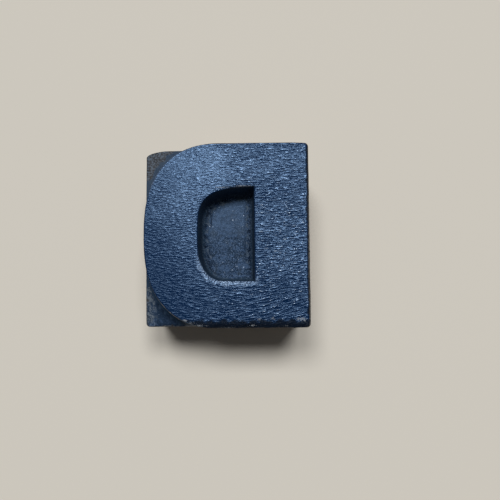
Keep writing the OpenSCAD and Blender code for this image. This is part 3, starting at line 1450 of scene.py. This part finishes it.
@dataclass(frozen=True)
class PalePaint(Finish):
    """Plain pale floor.

    Attributes:
        name: The material's name.
        colour: Its colour.
        roughness: Its roughness.
        specular: Its specular level.
    """

    name: str = "pale_floor"
    colour: Colour = (0.60, 0.565, 0.50, 1.0)
    roughness: float = 0.7
    specular: float = 0.2

    def paint(self, g: Graph, shader: bpy.types.Node, place: bpy.types.NodeSocket) -> None:
        """Feeds the shader.

        Args:
            g: The material's tree.
            shader: Its shader.
            place: Place on the object, in millimetres.
        """
        shader.inputs["Base Color"].default_value = self.colour
        shader.inputs["Roughness"].default_value = self.roughness
        shader.inputs["Specular IOR Level"].default_value = self.specular


# Pieces


def seat(piece: bpy.types.Object, slot: Slot, *nodes: Node) -> None:
    """Puts a finished piece on the CAD body.

    Args:
        piece: The piece.
        slot: The material slot that it stands for; not used.
        *nodes: CAD nodes that it stands for.
    """
    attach(piece, BODY)
    if nodes:
        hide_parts(*[node.value for node in nodes])
    log.info("%s: %d faces", piece.name, len(piece.data.polygons))


@dataclass
class WoodBlock:
    """The block of wood with the letter's relief, its sides and its foot.

    Attributes:
        relief: Height of its upper side.
        spacing: Distance between points along the edges.
        fill: Distance between points on the flats.
        foot_r: Rounding of the edges round the foot.
        rows: Rows of faces down the sides.
        hem_rows: Rows of faces round the foot's edge.
        foot_fill: Distance between points on the foot.
        edge_insets: Insets of the rings that draw the upper edges of the block.
        bare_rubs: Where handling has bared the edges.
    """

    relief: Relief
    spacing: float = 0.2
    fill: float = 0.3
    foot_r: float = 0.3
    rows: int = 30
    hem_rows: int = 4
    foot_fill: float = 0.7
    edge_insets: tuple[float, ...] = (0.02, 0.06, 0.12, 0.2, 0.3, 0.42, 0.56, 0.75, 1.0, 1.4)
    bare_rubs: tuple[Rub, ...] = (
        Rub(-9.5, -13.4, 4.2, 2.6, 0.8),
        Rub(15.4, -4.0, 0.5, 15.0, 0.35),
        Rub(3.0, 9.0, 2.6, 0.6, 0.55),
    )

    def build(self, tree: GeometryTree, finish: bpy.types.Material) -> bpy.types.Object:
        """Makes the piece.

        Args:
            tree: Nodes that raise the grain.
            finish: The wood's material.

        Returns:
            The finished piece.
        """
        shell = Shell()
        edge = self.relief.block.ring(0.0, self.spacing).astype(np.float32).astype(float)
        self.add_top(shell, edge)
        self.add_sides(shell, edge)
        piece = shell.to_object("block_of_wood")
        weld(piece)
        tree.apply(piece, finish)
        return piece

    def add_top(self, shell: Shell, edge: Points) -> None:
        """Adds the face, the counter, the shoulders and their walls.

        Args:
            shell: The mesh that grows.
            edge: Points round the block's sides.
        """
        letter, block, cut = self.relief.letter, self.relief.block, self.relief.cut
        rings = [letter.bowl_ring(run, self.spacing) for run in cut.runs()]
        rings += [letter.counter_ring(run, self.spacing) for run in cut.runs()]
        rings += [block.ring(inset, self.spacing) for inset in self.edge_insets]
        inner = np.concatenate(rings + [block.fill(self.fill, self.fill)])
        inner = spread(inner[block.inset(inner) > 0.012], 0.02)
        plan, faces = triangulate(np.concatenate([edge, inner]))
        height = self.relief.height(plan)
        marks = self.top_marks(plan, self.relief.face_z - height)
        shell.add(np.column_stack([plan, height]), faces, free=0.5, stain=1.25, **marks)

    def top_marks(self, plan: Points, depth: Points) -> dict[str, Points]:
        """Film of ink, dust and bared wood on the upper side.

        Args:
            plan: Points in plan.
            depth: Their depth below the face.

        Returns:
            Each mark's value under its name.
        """
        letter, block, cut = self.relief.letter, self.relief.block, self.relief.cut
        bowl, counter = letter.bowl_run(plan), letter.counter_run(plan)
        # The roller has inked the shoulders only beside the letter, and dust lies on the rest
        near_letter = smoothstep(2.4, 1.85, bowl + 0.2 * Waves(31, 2.5).at(plan))
        film = np.where(bowl > 0.0, near_letter, 1.0) * smoothstep(0.3, 0.9, block.half_w - plan[:, 0])
        lowered = smoothstep(0.5, 0.9, depth / cut.depth)
        dusty = np.where(counter > 0.0, 0.40, 0.68 - 0.62 * near_letter) * lowered
        # Handling bares the letter's rims and the block's upper edges, in broken patches
        near_rim = smoothstep(0.2, 0.08, -np.maximum(bowl, counter)) * smoothstep(0.5, 0.2, depth)
        near_side = smoothstep(0.9, 0.1, block.inset(plan)) * smoothstep(1.2, 0.5, depth)
        broken = np.clip(0.65 + 0.5 * Waves(33, 1.1).at(plan), 0.15, 1.0)
        bared = np.clip(rubbed(self.bare_rubs, plan), 0.0, 1.0)
        return {"film": film, "dusty": dusty, "rub": bared * np.maximum(near_rim, near_side) * broken}

    def add_sides(self, shell: Shell, edge: Points) -> None:
        """Adds the upright sides, their rounded lower edges and the foot.

        Args:
            shell: The mesh that grows.
            edge: Points round the block's sides.
        """
        # Inwards is the way in which the distance from the sides grows
        block, step = self.relief.block, 0.01
        slopes = [block.inset(edge + d) - block.inset(edge - d) for d in ([step, 0.0], [0.0, step])]
        inward = np.column_stack(slopes)
        inward /= np.linalg.norm(inward, axis=1)[:, None]
        top = self.relief.height(edge)
        levels = [(edge, top + (self.foot_r - top) * s) for s in np.linspace(0.0, 1.0, self.rows + 1)]
        for angle in np.linspace(0.0, math.pi / 2.0, self.hem_rows + 1)[1:]:
            drawn_in = edge + inward * self.foot_r * (1.0 - math.cos(angle))
            levels.append((drawn_in, np.full(len(edge), self.foot_r * (1.0 - math.sin(angle)))))
        verts = np.concatenate([np.column_stack(level) for level in levels])
        n = len(edge)
        faces = [
            (k * n + i, (k + 1) * n + i, (k + 1) * n + (i + 1) % n, k * n + (i + 1) % n)
            for k in range(len(levels) - 1)
            for i in range(n)
        ]
        fall = np.tile(top, len(levels)) - verts[:, 2]
        corner = np.tile(self.corner_wear(edge), len(levels))
        shell.add(verts, faces, **self.side_marks(verts, fall, corner))
        flats = block.fill(self.foot_fill, self.foot_fill)
        flats = flats[block.inset(flats) > self.foot_r + 0.3]
        plan, faces = triangulate(np.concatenate([levels[-1][0], flats]))
        foot = np.column_stack([plan, np.zeros(len(plan))])
        marks = {"free": 0.0, "stain": 0.3, "film": 0.0, "dusty": 0.0, "rub": 0.0}
        shell.add(foot, [face[::-1] for face in faces], **marks)

    def side_marks(self, verts: Points, fall: Points, corner: Points) -> dict[str, Points | float]:
        """Grain, stain, film of ink and bared wood on the sides.

        Args:
            verts: Points on the sides.
            fall: How far each lies below the upper edge.
            corner: 1 at an upright corner and 0 along a side.

        Returns:
            Each mark's value under its name.
        """
        # Ink has run down unevenly from the upper edge, and fingers have left a few smudges
        round_about = np.column_stack([verts[:, 0] + verts[:, 1], verts[:, 2]])
        ragged = 0.5 * Waves(61, 1.6).at(round_about) + 0.7 * Waves(62, 6.0).at(round_about)
        smudge = smoothstep(0.9, 1.8, Waves(63, 7.0).at(round_about)) * smoothstep(16.0, 5.0, fall)
        film = np.maximum(smoothstep(2.6, 0.7, fall - ragged), 0.55 * smudge)
        hem = smoothstep(1.2, 0.1, verts[:, 2])
        return {
            "free": np.maximum(smoothstep(0.0, 0.5, np.minimum(fall, verts[:, 2])), 0.3),
            "stain": 0.85 - 0.55 * smoothstep(1.0, 12.0, fall),
            "film": film,
            "dusty": 0.0,
            "rub": np.clip(0.3 * corner + 0.25 * hem, 0.0, 1.0),
        }

    def corner_wear(self, points: Points) -> Points:
        """1 at the block's upright corners and 0 along its sides.

        Args:
            points: Points in plan.

        Returns:
            The wear at each point.
        """
        block = self.relief.block
        across = block.half_w - np.abs(points[:, 0])
        up = block.half_h - np.abs(points[:, 1])
        return smoothstep(1.0, 0.2, np.maximum(across, up))


def weld(piece: bpy.types.Object) -> None:
    """Joins the seams of a piece's patches.

    Args:
        piece: The piece.
    """
    grown = bmesh.new()
    grown.from_mesh(piece.data)
    bmesh.ops.remove_doubles(grown, verts=grown.verts, dist=WELD_GAP)
    grown.to_mesh(piece.data)
    grown.free()


@dataclass
class InkSkin:
    """A thin closed skin of dried ink on the wood, whose ragged edge dips under the surface.

    Attributes:
        relief: The wood below it.
        name: The piece's name.
        thick: Thickness of the ink.
        spacing: Distance between points along X and Y.
        dip: How far its edge lies under the wood.
        sink: How far its underside lies under the wood.
        fade: Distance over which the ink reaches its thickness.
        calm: Distance from its outline at which the wrinkles are at their full height.
        under_fill: Distance between points on its underside.
    """

    relief: Relief
    name: str
    thick: float
    spacing: tuple[float, float]
    dip: float = 0.03
    sink: float = 0.07
    fade: float = 0.14
    calm: float = 0.5
    under_fill: float = 0.9

    def limit(self, points: Points) -> Points:
        """Distance of each point inside the skin's outline, negative outside."""
        raise NotImplementedError

    def rings(self) -> list[Points]:
        """Rows of points that draw the outline and the curved edges."""
        raise NotImplementedError

    def inked(self, points: Points) -> Points:
        """Distance of each point inside the ink's own ragged edge, negative where the wood is bare."""
        raise NotImplementedError

    def dusty(self, points: Points) -> Points:
        """How much dust lies at each point."""
        return np.zeros(len(points))

    def wear(self, points: Points) -> dict[str, Points | float]:
        """Marks at each point: painted light, thin ink with painted shade, and wear."""
        return {"painted_light": 0.0, "thin": 0.0, "worn": 0.0}

    def build(self, tree: GeometryTree, finish: bpy.types.Material, **sizes: float) -> bpy.types.Object:
        """Makes the piece.

        Args:
            tree: Nodes that wrinkle it.
            finish: The ink's material.
            **sizes: Named inputs of the tree.

        Returns:
            The finished piece.
        """
        block = self.relief.block
        ratio = self.spacing[0] / self.spacing[1]
        rings = np.concatenate(self.rings())
        rings = rings[self.limit(rings) > -1e-4]
        flats = block.fill(*self.spacing)
        flats = flats[self.limit(flats) > 0.3 * self.spacing[0]]
        points = spread(np.concatenate([rings, flats]), 0.03)
        plan, faces = compact(*triangulate(points, self.inside, ratio))
        # The underside is coarse and shares the upper side's border
        sides = border(faces)
        rim = sorted({i for side in sides for i in side})
        place = {old: new for new, old in enumerate(rim)}
        coarse = block.fill(self.under_fill, self.under_fill)
        coarse = coarse[self.limit(coarse) > 0.5]
        edges = [(place[a], place[b]) for a, b in sides]
        under, under_faces = triangulate(np.concatenate([plan[rim], coarse]), self.inside, 1.0, edges)
        shell = Shell()
        # Bare wood shows where the skin dips below it
        ink = smoothstep(0.0, self.fade, self.inked(plan))
        lift = (self.thick + self.dip) * ink - self.dip
        crown = self.on_wood(plan) + self.relief.normal(plan) * lift[:, None]
        rim_ink = np.zeros(len(plan))
        rim_ink[rim] = 1.0
        free = ink * (1.0 - rim_ink) * self.loose(plan)
        shell.add(crown, faces, free=free, dusty=self.dusty(plan) * free, **self.wear(plan))
        floor = self.on_wood(under) - self.relief.normal(under) * self.sink
        unseen = {"free": 0.0, "dusty": 0.0, "painted_light": 0.0, "thin": 0.0, "worn": 0.0}
        start = shell.add(floor, [f[::-1] for f in under_faces], **unseen)
        shell.faces.extend((b, a, start + place[a], start + place[b]) for a, b in sides)
        piece = shell.to_object(self.name)
        tree.apply(piece, finish, **sizes)
        return piece

    def loose(self, points: Points) -> Points:
        """How freely the wrinkles rise, from 0 at the outline to 1."""
        return smoothstep(0.06, self.calm, self.limit(points))

    def inside(self, points: Points) -> Points:
        """Whether each point lies in the skin's outline."""
        return self.limit(points) > 0.0

    def on_wood(self, points: Points) -> Points:
        """The points lifted on to the wood."""
        return np.column_stack([points, self.relief.height(points)])


def compact(points: Points, faces: list[list[int]]) -> tuple[Points, list[list[int]]]:
    """Leaves out the points that no face uses."""
    used, place = np.unique(np.array(faces), return_inverse=True)
    return points[used], place.reshape(-1, 3).tolist()


@dataclass
class FaceInk(InkSkin):
    """The ink on the letter's face, rolled over its rounded edges.

    Attributes:
        over_bowl: How far it reaches past the bowl's edge.
        over_counter: How far it reaches past the counter's edge.
        from_side: How far it stays inside the block's sides.
        rim_steps: Steps inwards from the letter's edges at which its rings lie.
        side_steps: Steps inwards from the block's sides at which its rings lie.
        bare: Where it has worn off, by how far its edge has drawn back.
        painted_highlight: Where a painted highlight lies on the rim of the face.
        bared_head: Where the rim above the counter is rubbed thin.
        scuffs: Where it is scuffed down to grey flecks.
    """

    over_bowl: float = 0.01
    over_counter: float = 0.03
    from_side: float = 0.06
    rim_steps: tuple[float, ...] = (0.0, 0.022, 0.05, 0.085, 0.13, 0.19, 0.27, 0.38)
    side_steps: tuple[float, ...] = (0.0, 0.04, 0.09, 0.16, 0.25, 0.36, 0.5, 0.66, 0.84)
    bare: tuple[Rub, ...] = (
        Rub(-10.4, -12.8, 3.2, 2.4, 0.11),
        Rub(-7.0, -15.6, 1.4, 0.8, 0.17),
        Rub(15.3, -8.0, 0.9, 12.0, 0.36),
        Rub(15.3, 8.0, 0.9, 10.0, 0.14),
        Rub(-0.6, 17.0, 14.0, 0.6, 0.05),
        Rub(3.2, 9.0, 2.6, 0.4, 0.15),
    )
    painted_highlight: tuple[Rub, ...] = (
        Rub(0.8, -8.9, 5.0, 1.3, 1.0),
        Rub(-4.2, -6.6, 1.6, 2.4, 0.8),
        Rub(-11.5, 10.0, 4.0, 5.0, 0.5),
    )
    bared_head: Rub = Rub(1.2, 9.1, 5.0, 1.3, 0.6)
    scuffs: tuple[Rub, ...] = (
        Rub(13.7, -15.3, 1.15, 0.45, 0.72),
        Rub(8.5, -15.1, 0.5, 0.3, 0.66),
        Rub(6.1, -15.3, 0.4, 0.3, 0.62),
        Rub(4.9, -16.3, 1.0, 0.25, 0.62),
        Rub(10.8, -16.4, 0.6, 0.2, 0.55),
        Rub(-7.3, -15.35, 0.35, 0.25, 1.3),
        Rub(-6.3, -15.85, 0.9, 0.16, 0.8),
        Rub(-4.9, -16.25, 1.6, 0.18, 0.8),
        Rub(0.5, -16.6, 2.0, 0.15, 0.5),
        Rub(3.3, 8.88, 1.6, 0.08, 1.0),
        Rub(-0.4, 8.66, 1.4, 0.10, 0.8),
    )

    def outer(self, points: Points) -> Points:
        """Distance of each point inside the bowl's edge and the block's sides."""
        bowl = self.over_bowl - self.relief.letter.bowl_run(points)
        return np.minimum(bowl, self.relief.block.inset(points) - self.from_side)

    def limit(self, points: Points) -> Points:
        """Distance of each point inside the skin's outline, negative outside."""
        return np.minimum(self.outer(points), self.over_counter - self.relief.letter.counter_run(points))

    def rings(self) -> list[Points]:
        """Rows of points that draw the outline and the curved edges.

        Returns:
            One array of points for each row.
        """
        letter, block = self.relief.letter, self.relief.block
        rows = [letter.bowl_ring(self.over_bowl - step, 0.14) for step in self.rim_steps]
        rows += [letter.counter_ring(self.over_counter - step, 0.12) for step in self.rim_steps]
        return rows + [block.ring(self.from_side + step, 0.16) for step in self.side_steps]

    def loose(self, points: Points) -> Points:
        """How freely the wrinkles rise, from 0 at the outline to 1, soonest beside the counter.

        Args:
            points: Points in plan.

        Returns:
            The freedom at each point.
        """
        letter = self.relief.letter
        counter = smoothstep(0.04, 0.2, self.over_counter - letter.counter_run(points))
        east = smoothstep(0.35, 1.1, letter.half_w - points[:, 0])
        return np.minimum(np.minimum(counter, east), smoothstep(0.06, self.calm, self.outer(points)))

    def inked(self, points: Points) -> Points:
        """Distance of each point inside the ink's own ragged edge, negative where the wood is bare."""
        ragged = 0.012 * Waves(71, 0.45).at(points) + 0.008 * Waves(72, 1.8).at(points)
        return self.limit(points) + 0.01 - rubbed(self.bare, points) + ragged

    def dusty(self, points: Points) -> Points:
        """How much dust lies at each point."""
        return np.clip(rubbed(self.scuffs, points), 0.006, 1.0)

    def wear(self, points: Points) -> dict[str, Points | float]:
        """Marks at each point: painted highlight on the rims, thin ink with painted shade, and scuffs.

        Args:
            points: Points in plan.

        Returns:
            Each mark's value under its name.
        """
        letter = self.relief.letter
        # The painted highlight lies along the rims of the bowl and of the counter
        outer_rim = smoothstep(0.34, 0.08, -letter.bowl_run(points))
        counter_rim = smoothstep(1.05, 0.2, -letter.counter_run(points) + 0.15 * Waves(74, 1.2).at(points))
        rim = np.maximum(outer_rim, counter_rim)
        # The lower rolled edge is darkened both as thin ink and as painted shade
        low_roll = smoothstep(1.9, 0.8, points[:, 1] + letter.half_h + 0.16 * Waves(75, 1.6).at(points))
        east = smoothstep(0.75, 0.35, letter.half_w - points[:, 0] + 0.1 * Waves(76, 1.4).at(points))
        head = smoothstep(0.75, 0.15, -letter.counter_run(points)) * rubbed([self.bared_head], points)
        return {
            "painted_light": np.clip(rubbed(self.painted_highlight, points), 0.0, 1.0) * rim,
            "thin": np.maximum(np.maximum(low_roll, 0.7 * east), head),
            "worn": rubbed(self.scuffs, points),
        }


@dataclass
class CounterInk(InkSkin):
    """The thin ink on the counter's floor, which climbs the cove only on the lower side.

    Attributes:
        climb: How far it reaches up the cove on the lower side.
        level: How far it reaches past the flat on the other sides.
        steps: Steps inwards from its outline at which its rings lie.
    """

    climb: float = 0.95
    level: float = 0.12
    steps: tuple[float, ...] = (0.0, 0.08, 0.18, 0.3, 0.44, 0.6, 0.78, 0.95)

    def limit(self, points: Points) -> Points:
        """Distance of each point inside the skin's outline, negative outside."""
        return self.relief.letter.counter_run(points) - self.relief.cut.foot_run + self.climb

    def rings(self) -> list[Points]:
        """Rows of points that draw the outline and the curved edges."""
        first = self.relief.cut.foot_run - self.climb
        return [self.relief.letter.counter_ring(first + step, 0.16) for step in self.steps]

    def lower_side(self, points: Points) -> Points:
        """1 beside the counter's lower edge and 0 elsewhere."""
        return smoothstep(-5.4, -7.2, points[:, 1] - 0.25 * points[:, 0])

    def inked(self, points: Points) -> Points:
        """Distance of each point inside the ink's own ragged edge, negative where the wood is bare."""
        kept_back = (self.climb - self.level) * (1.0 - self.lower_side(points))
        return self.limit(points) - kept_back - 0.05 + 0.16 * Waves(81, 1.3).at(points)

    def dusty(self, points: Points) -> Points:
        """How much dust lies at each point."""
        return smoothstep(-0.6, 1.2, Waves(85, 4.0).at(points))

    def wear(self, points: Points) -> dict[str, Points | float]:
        """Marks at each point: painted light, painted shade, and wear.

        Args:
            points: Points in plan.

        Returns:
            Each mark's value under its name.
        """
        foot = self.relief.letter.counter_run(points) - self.relief.cut.foot_run
        # Painted shade at the foot of the walls, except the lower one, and in the router's grooves
        beside = smoothstep(0.7, 0.1, foot) * (1.0 - self.lower_side(points))
        thin = 0.3 * beside + 5.0 * rubbed(self.relief.scores, points)
        # Painted light grows towards the counter's head, where the upper wall's shadow falls
        return {"painted_light": smoothstep(-3.5, 3.5, points[:, 1]), "thin": np.clip(thin, 0.0, 1.0), "worn": 0.0}


@dataclass
class ShoulderInk(InkSkin):
    """The thin ink on the lower shoulder, in the corner outside the bowl.

    Attributes:
        climb: How far it reaches up the cove.
        from_side: How far it stays inside the block's sides.
        past_node: How far it reaches up the block beyond the CAD node.
        bowl_steps: Steps outwards from the bowl at which its rings lie.
        side_steps: Steps inwards from the block's sides at which its rings lie.
    """

    climb: float = 0.4
    from_side: float = 0.12
    past_node: float = 1.5
    bowl_steps: tuple[float, ...] = (0.0, 0.08, 0.17, 0.28, 0.42, 0.6)
    side_steps: tuple[float, ...] = (0.0, 0.05, 0.12, 0.22, 0.36)

    def limit(self, points: Points) -> Points:
        """Distance of each point inside the skin's outline, negative outside.

        Args:
            points: Points in plan.

        Returns:
            The distance at each point.
        """
        foot = self.relief.cut.foot_run
        bowl = self.relief.letter.bowl_run(points) - foot + self.climb
        side = self.relief.block.inset(points) - self.from_side
        lower = Node.SHOULDER_INK.high().y + self.past_node - points[:, 1]
        return np.minimum(np.minimum(bowl, side), lower)

    def rings(self) -> list[Points]:
        """Rows of points that draw the outline and the curved edges.

        Returns:
            One array of points for each row.
        """
        letter, block = self.relief.letter, self.relief.block
        first = self.relief.cut.foot_run - self.climb
        rows = [letter.bowl_ring(first + step, 0.15) for step in self.bowl_steps]
        return rows + [block.ring(self.from_side + step, 0.15) for step in self.side_steps]

    def inked(self, points: Points) -> Points:
        """Distance of each point inside the ink's own ragged edge, negative where the wood is bare."""
        return self.limit(points) - 0.05 + 0.14 * Waves(91, 1.2).at(points)

    def dusty(self, points: Points) -> Points:
        """How much dust lies at each point."""
        return np.full(len(points), 0.6)

    def wear(self, points: Points) -> dict[str, Points | float]:
        """Marks at each point: painted light, painted shadow, and wear.

        Args:
            points: Points in plan.

        Returns:
            Each mark's value under its name.
        """
        x, y = points.T
        out = self.relief.letter.bowl_run(points) + 0.35 * Waves(95, 1.8).at(points)
        beside = smoothstep(2.2, 1.0, x + self.relief.block.half_w + 0.3 * Waves(96, 1.3).at(points))
        worn = np.maximum(beside * smoothstep(-16.8, -15.4, y), 0.35 * smoothstep(3.0, 4.8, out))
        # Painted shadow of the bowl's wall on the shoulder, weaker beside the block's side
        return {"painted_light": 0.0, "thin": smoothstep(4.4, 2.2, out) * (1.0 - 0.8 * beside), "worn": worn}


@dataclass
class DustSpecks:
    """Specks of paper dust caught on one skin of ink.

    Attributes:
        skin: The piece that carries them.
        name: The piece's name.
        density: Specks in a square millimetre at the dustiest place.
        sizes: Least and largest radius.
        seed: Seed of the scatter.
    """

    skin: bpy.types.Object
    name: str
    density: float
    sizes: tuple[float, float]
    seed: int

    def build(self, tree: GeometryTree, finish: bpy.types.Material) -> bpy.types.Object:
        """Makes the piece.

        Args:
            tree: Nodes that scatter the specks.
            finish: Their material.

        Returns:
            The finished piece.
        """
        piece = bpy.data.objects.new(self.name, self.skin.data.copy())
        bpy.context.scene.collection.objects.link(piece)
        least, largest = self.sizes
        sizes = {"Density": self.density, "Least size": least, "Largest size": largest}
        tree.apply(piece, finish, **sizes, Seed=self.seed)
        return piece


# Studio


@dataclass(frozen=True)
class PhotoCamera:
    """The camera, worked out from the block's own edges.

    Attributes:
        place: Where it stands, in millimetres.
        turn: Its turns about X, Y and Z from looking straight down, in radians.
        focal_px: Its focal length in pixels of the frame.
        frame_px: Side of the square frame in pixels.
        sensor: Width of its sensor, in millimetres.
        clip: Nearest and farthest place that it sees, in metres.
    """

    place: tuple[float, float, float] = (5.118, -8.885, 120.607)
    turn: tuple[float, float, float] = (0.06229, 0.00693, -0.01001)
    focal_px: float = 541.0
    frame_px: float = 500.0
    sensor: float = 36.0
    clip: tuple[float, float] = (0.001, 50.0)

    def build(self) -> None:
        """Makes the camera and gives it to the scene."""
        data = bpy.data.cameras.new("photo_camera")
        data.sensor_width = self.sensor
        data.lens = self.sensor * self.focal_px / self.frame_px
        data.clip_start, data.clip_end = self.clip
        camera = bpy.data.objects.new("photo_camera", data)
        camera.location = Vector(self.place) * MM
        camera.rotation_euler = Euler(self.turn, "XYZ")
        bpy.context.scene.collection.objects.link(camera)
        bpy.context.scene.camera = camera


@dataclass(frozen=True)
class SoftLamp:
    """A lamp that looks as wide as a window or a ceiling.

    Attributes:
        name: Its name.
        share: Its share of the light on a level surface.
        height: Its height above the horizon, in degrees.
        turn: How far it stands to the side of the letter's head, in degrees.
        spread: How wide it looks, in degrees.
    """

    name: str
    share: float
    height: float
    turn: float
    spread: float

    def build(self) -> None:
        """Makes the lamp."""
        lamp = bpy.data.lights.new(self.name, "SUN")
        lamp.energy = self.share * math.pi / math.sin(math.radians(self.height))
        lamp.angle = math.radians(self.spread)
        holder = bpy.data.objects.new(self.name, lamp)
        holder.rotation_euler = Euler((math.radians(self.height - 90.0), 0.0, math.radians(self.turn)))
        bpy.context.scene.collection.objects.link(holder)


@dataclass(frozen=True)
class Studio:
    """Pale floor and soft light that comes mostly from beyond the head of the letter.

    Attributes:
        floor_side: Side of the floor, in metres.
        lamps: The soft lamps.
        sky: Share of the light that comes from all round.
        sky_colour: Colour of the light from all round.
    """

    floor_side: float = 6.0
    lamps: tuple[SoftLamp, ...] = (
        SoftLamp("window_west", 0.46, 68.0, 22.0, 15.0),
        SoftLamp("window_east", 0.46, 68.0, -22.0, 15.0),
    )
    sky: float = 0.08
    sky_colour: Colour = (0.94, 0.97, 1.0, 1.0)

    def build(self) -> None:
        """Makes the floor, the lamps and the world."""
        half = self.floor_side / 2.0
        corners = [(-half, -half, 0.0), (half, -half, 0.0), (half, half, 0.0), (-half, half, 0.0)]
        mesh = bpy.data.meshes.new("floor")
        mesh.from_pydata(corners, [], [(0, 1, 2, 3)])
        floor = bpy.data.objects.new("floor", mesh)
        bpy.context.scene.collection.objects.link(floor)
        mesh.materials.append(PalePaint().build())
        for lamp in self.lamps:
            lamp.build()
        world = bpy.data.worlds.new("studio")
        bpy.context.scene.world = world
        world.use_nodes = True
        graph = Graph(world.node_tree)
        sky = world.node_tree.nodes["Background"]
        sky.inputs["Color"].default_value = self.sky_colour
        seen = graph.add("ShaderNodeLightPath").outputs["Is Camera Ray"]
        graph.feed(sky.inputs["Strength"], graph.between(seen, self.sky, 1.0))
        bpy.context.scene.view_settings.view_transform = "Standard"


def main() -> None:
    """Builds the studio and the block."""
    logging.basicConfig(level=logging.INFO, format="%(name)s %(message)s")
    PhotoCamera().build()
    Studio().build()
    wood_high, ink_high = Node.WOOD_BLOCK.high(), Node.FACE_INK.high()
    floor_low, floor_high = Node.COUNTER_INK.low(), Node.COUNTER_INK.high()
    relief = Relief(
        letter=LetterPlan(half_w=wood_high.x, half_h=wood_high.y),
        block=BlockPlan(half_w=wood_high.x, half_h=wood_high.y),
        cut=RouterCut(depth=wood_high.z - floor_low.z),
        face_z=wood_high.z,
    )
    wrinkles, grain, dust = wrinkle_tree(), grain_tree(), dust_tree()
    dried, dusty, specks = DriedInk().build(), DustyInk().build(), PaperDust().build()
    block = WoodBlock(relief).build(grain, StainedWood().build())
    seat(block, Slot.WOOD, Node.WOOD_BLOCK)
    face_t, floor_t = ink_high.z - wood_high.z, floor_high.z - floor_low.z
    face = FaceInk(relief, "face_ink_skin", thick=face_t, spacing=(0.155, 0.071)).build(wrinkles, dried)
    seat(face, Slot.FACE_INK, Node.FACE_INK)
    counter = CounterInk(relief, "counter_ink_skin", thick=floor_t, spacing=(0.09, 0.085))
    counter = counter.build(wrinkles, dusty, **PITTED)
    seat(counter, Slot.FLOOR_INK, Node.COUNTER_INK)
    shoulder = ShoulderInk(relief, "shoulder_ink_skin", thick=floor_t, spacing=(0.1, 0.095))
    shoulder = shoulder.build(wrinkles, dusty, **PITTED)
    seat(shoulder, Slot.FLOOR_INK, Node.SHOULDER_INK)
    for skin, name, density, sizes, seed in (
        (counter, "counter_lint", 0.5, (0.10, 0.18), 11),
        (counter, "counter_dust", 1.4, (0.02, 0.045), 12),
        (shoulder, "shoulder_dust", 0.8, (0.02, 0.05), 13),
        (face, "face_dust", 2.0, (0.02, 0.05), 14),
    ):
        caught = DustSpecks(skin, name, density, sizes, seed).build(dust, specks)
        seat(caught, Slot.FACE_INK if skin is face else Slot.FLOOR_INK)


if __name__ == "__main__":
    main()
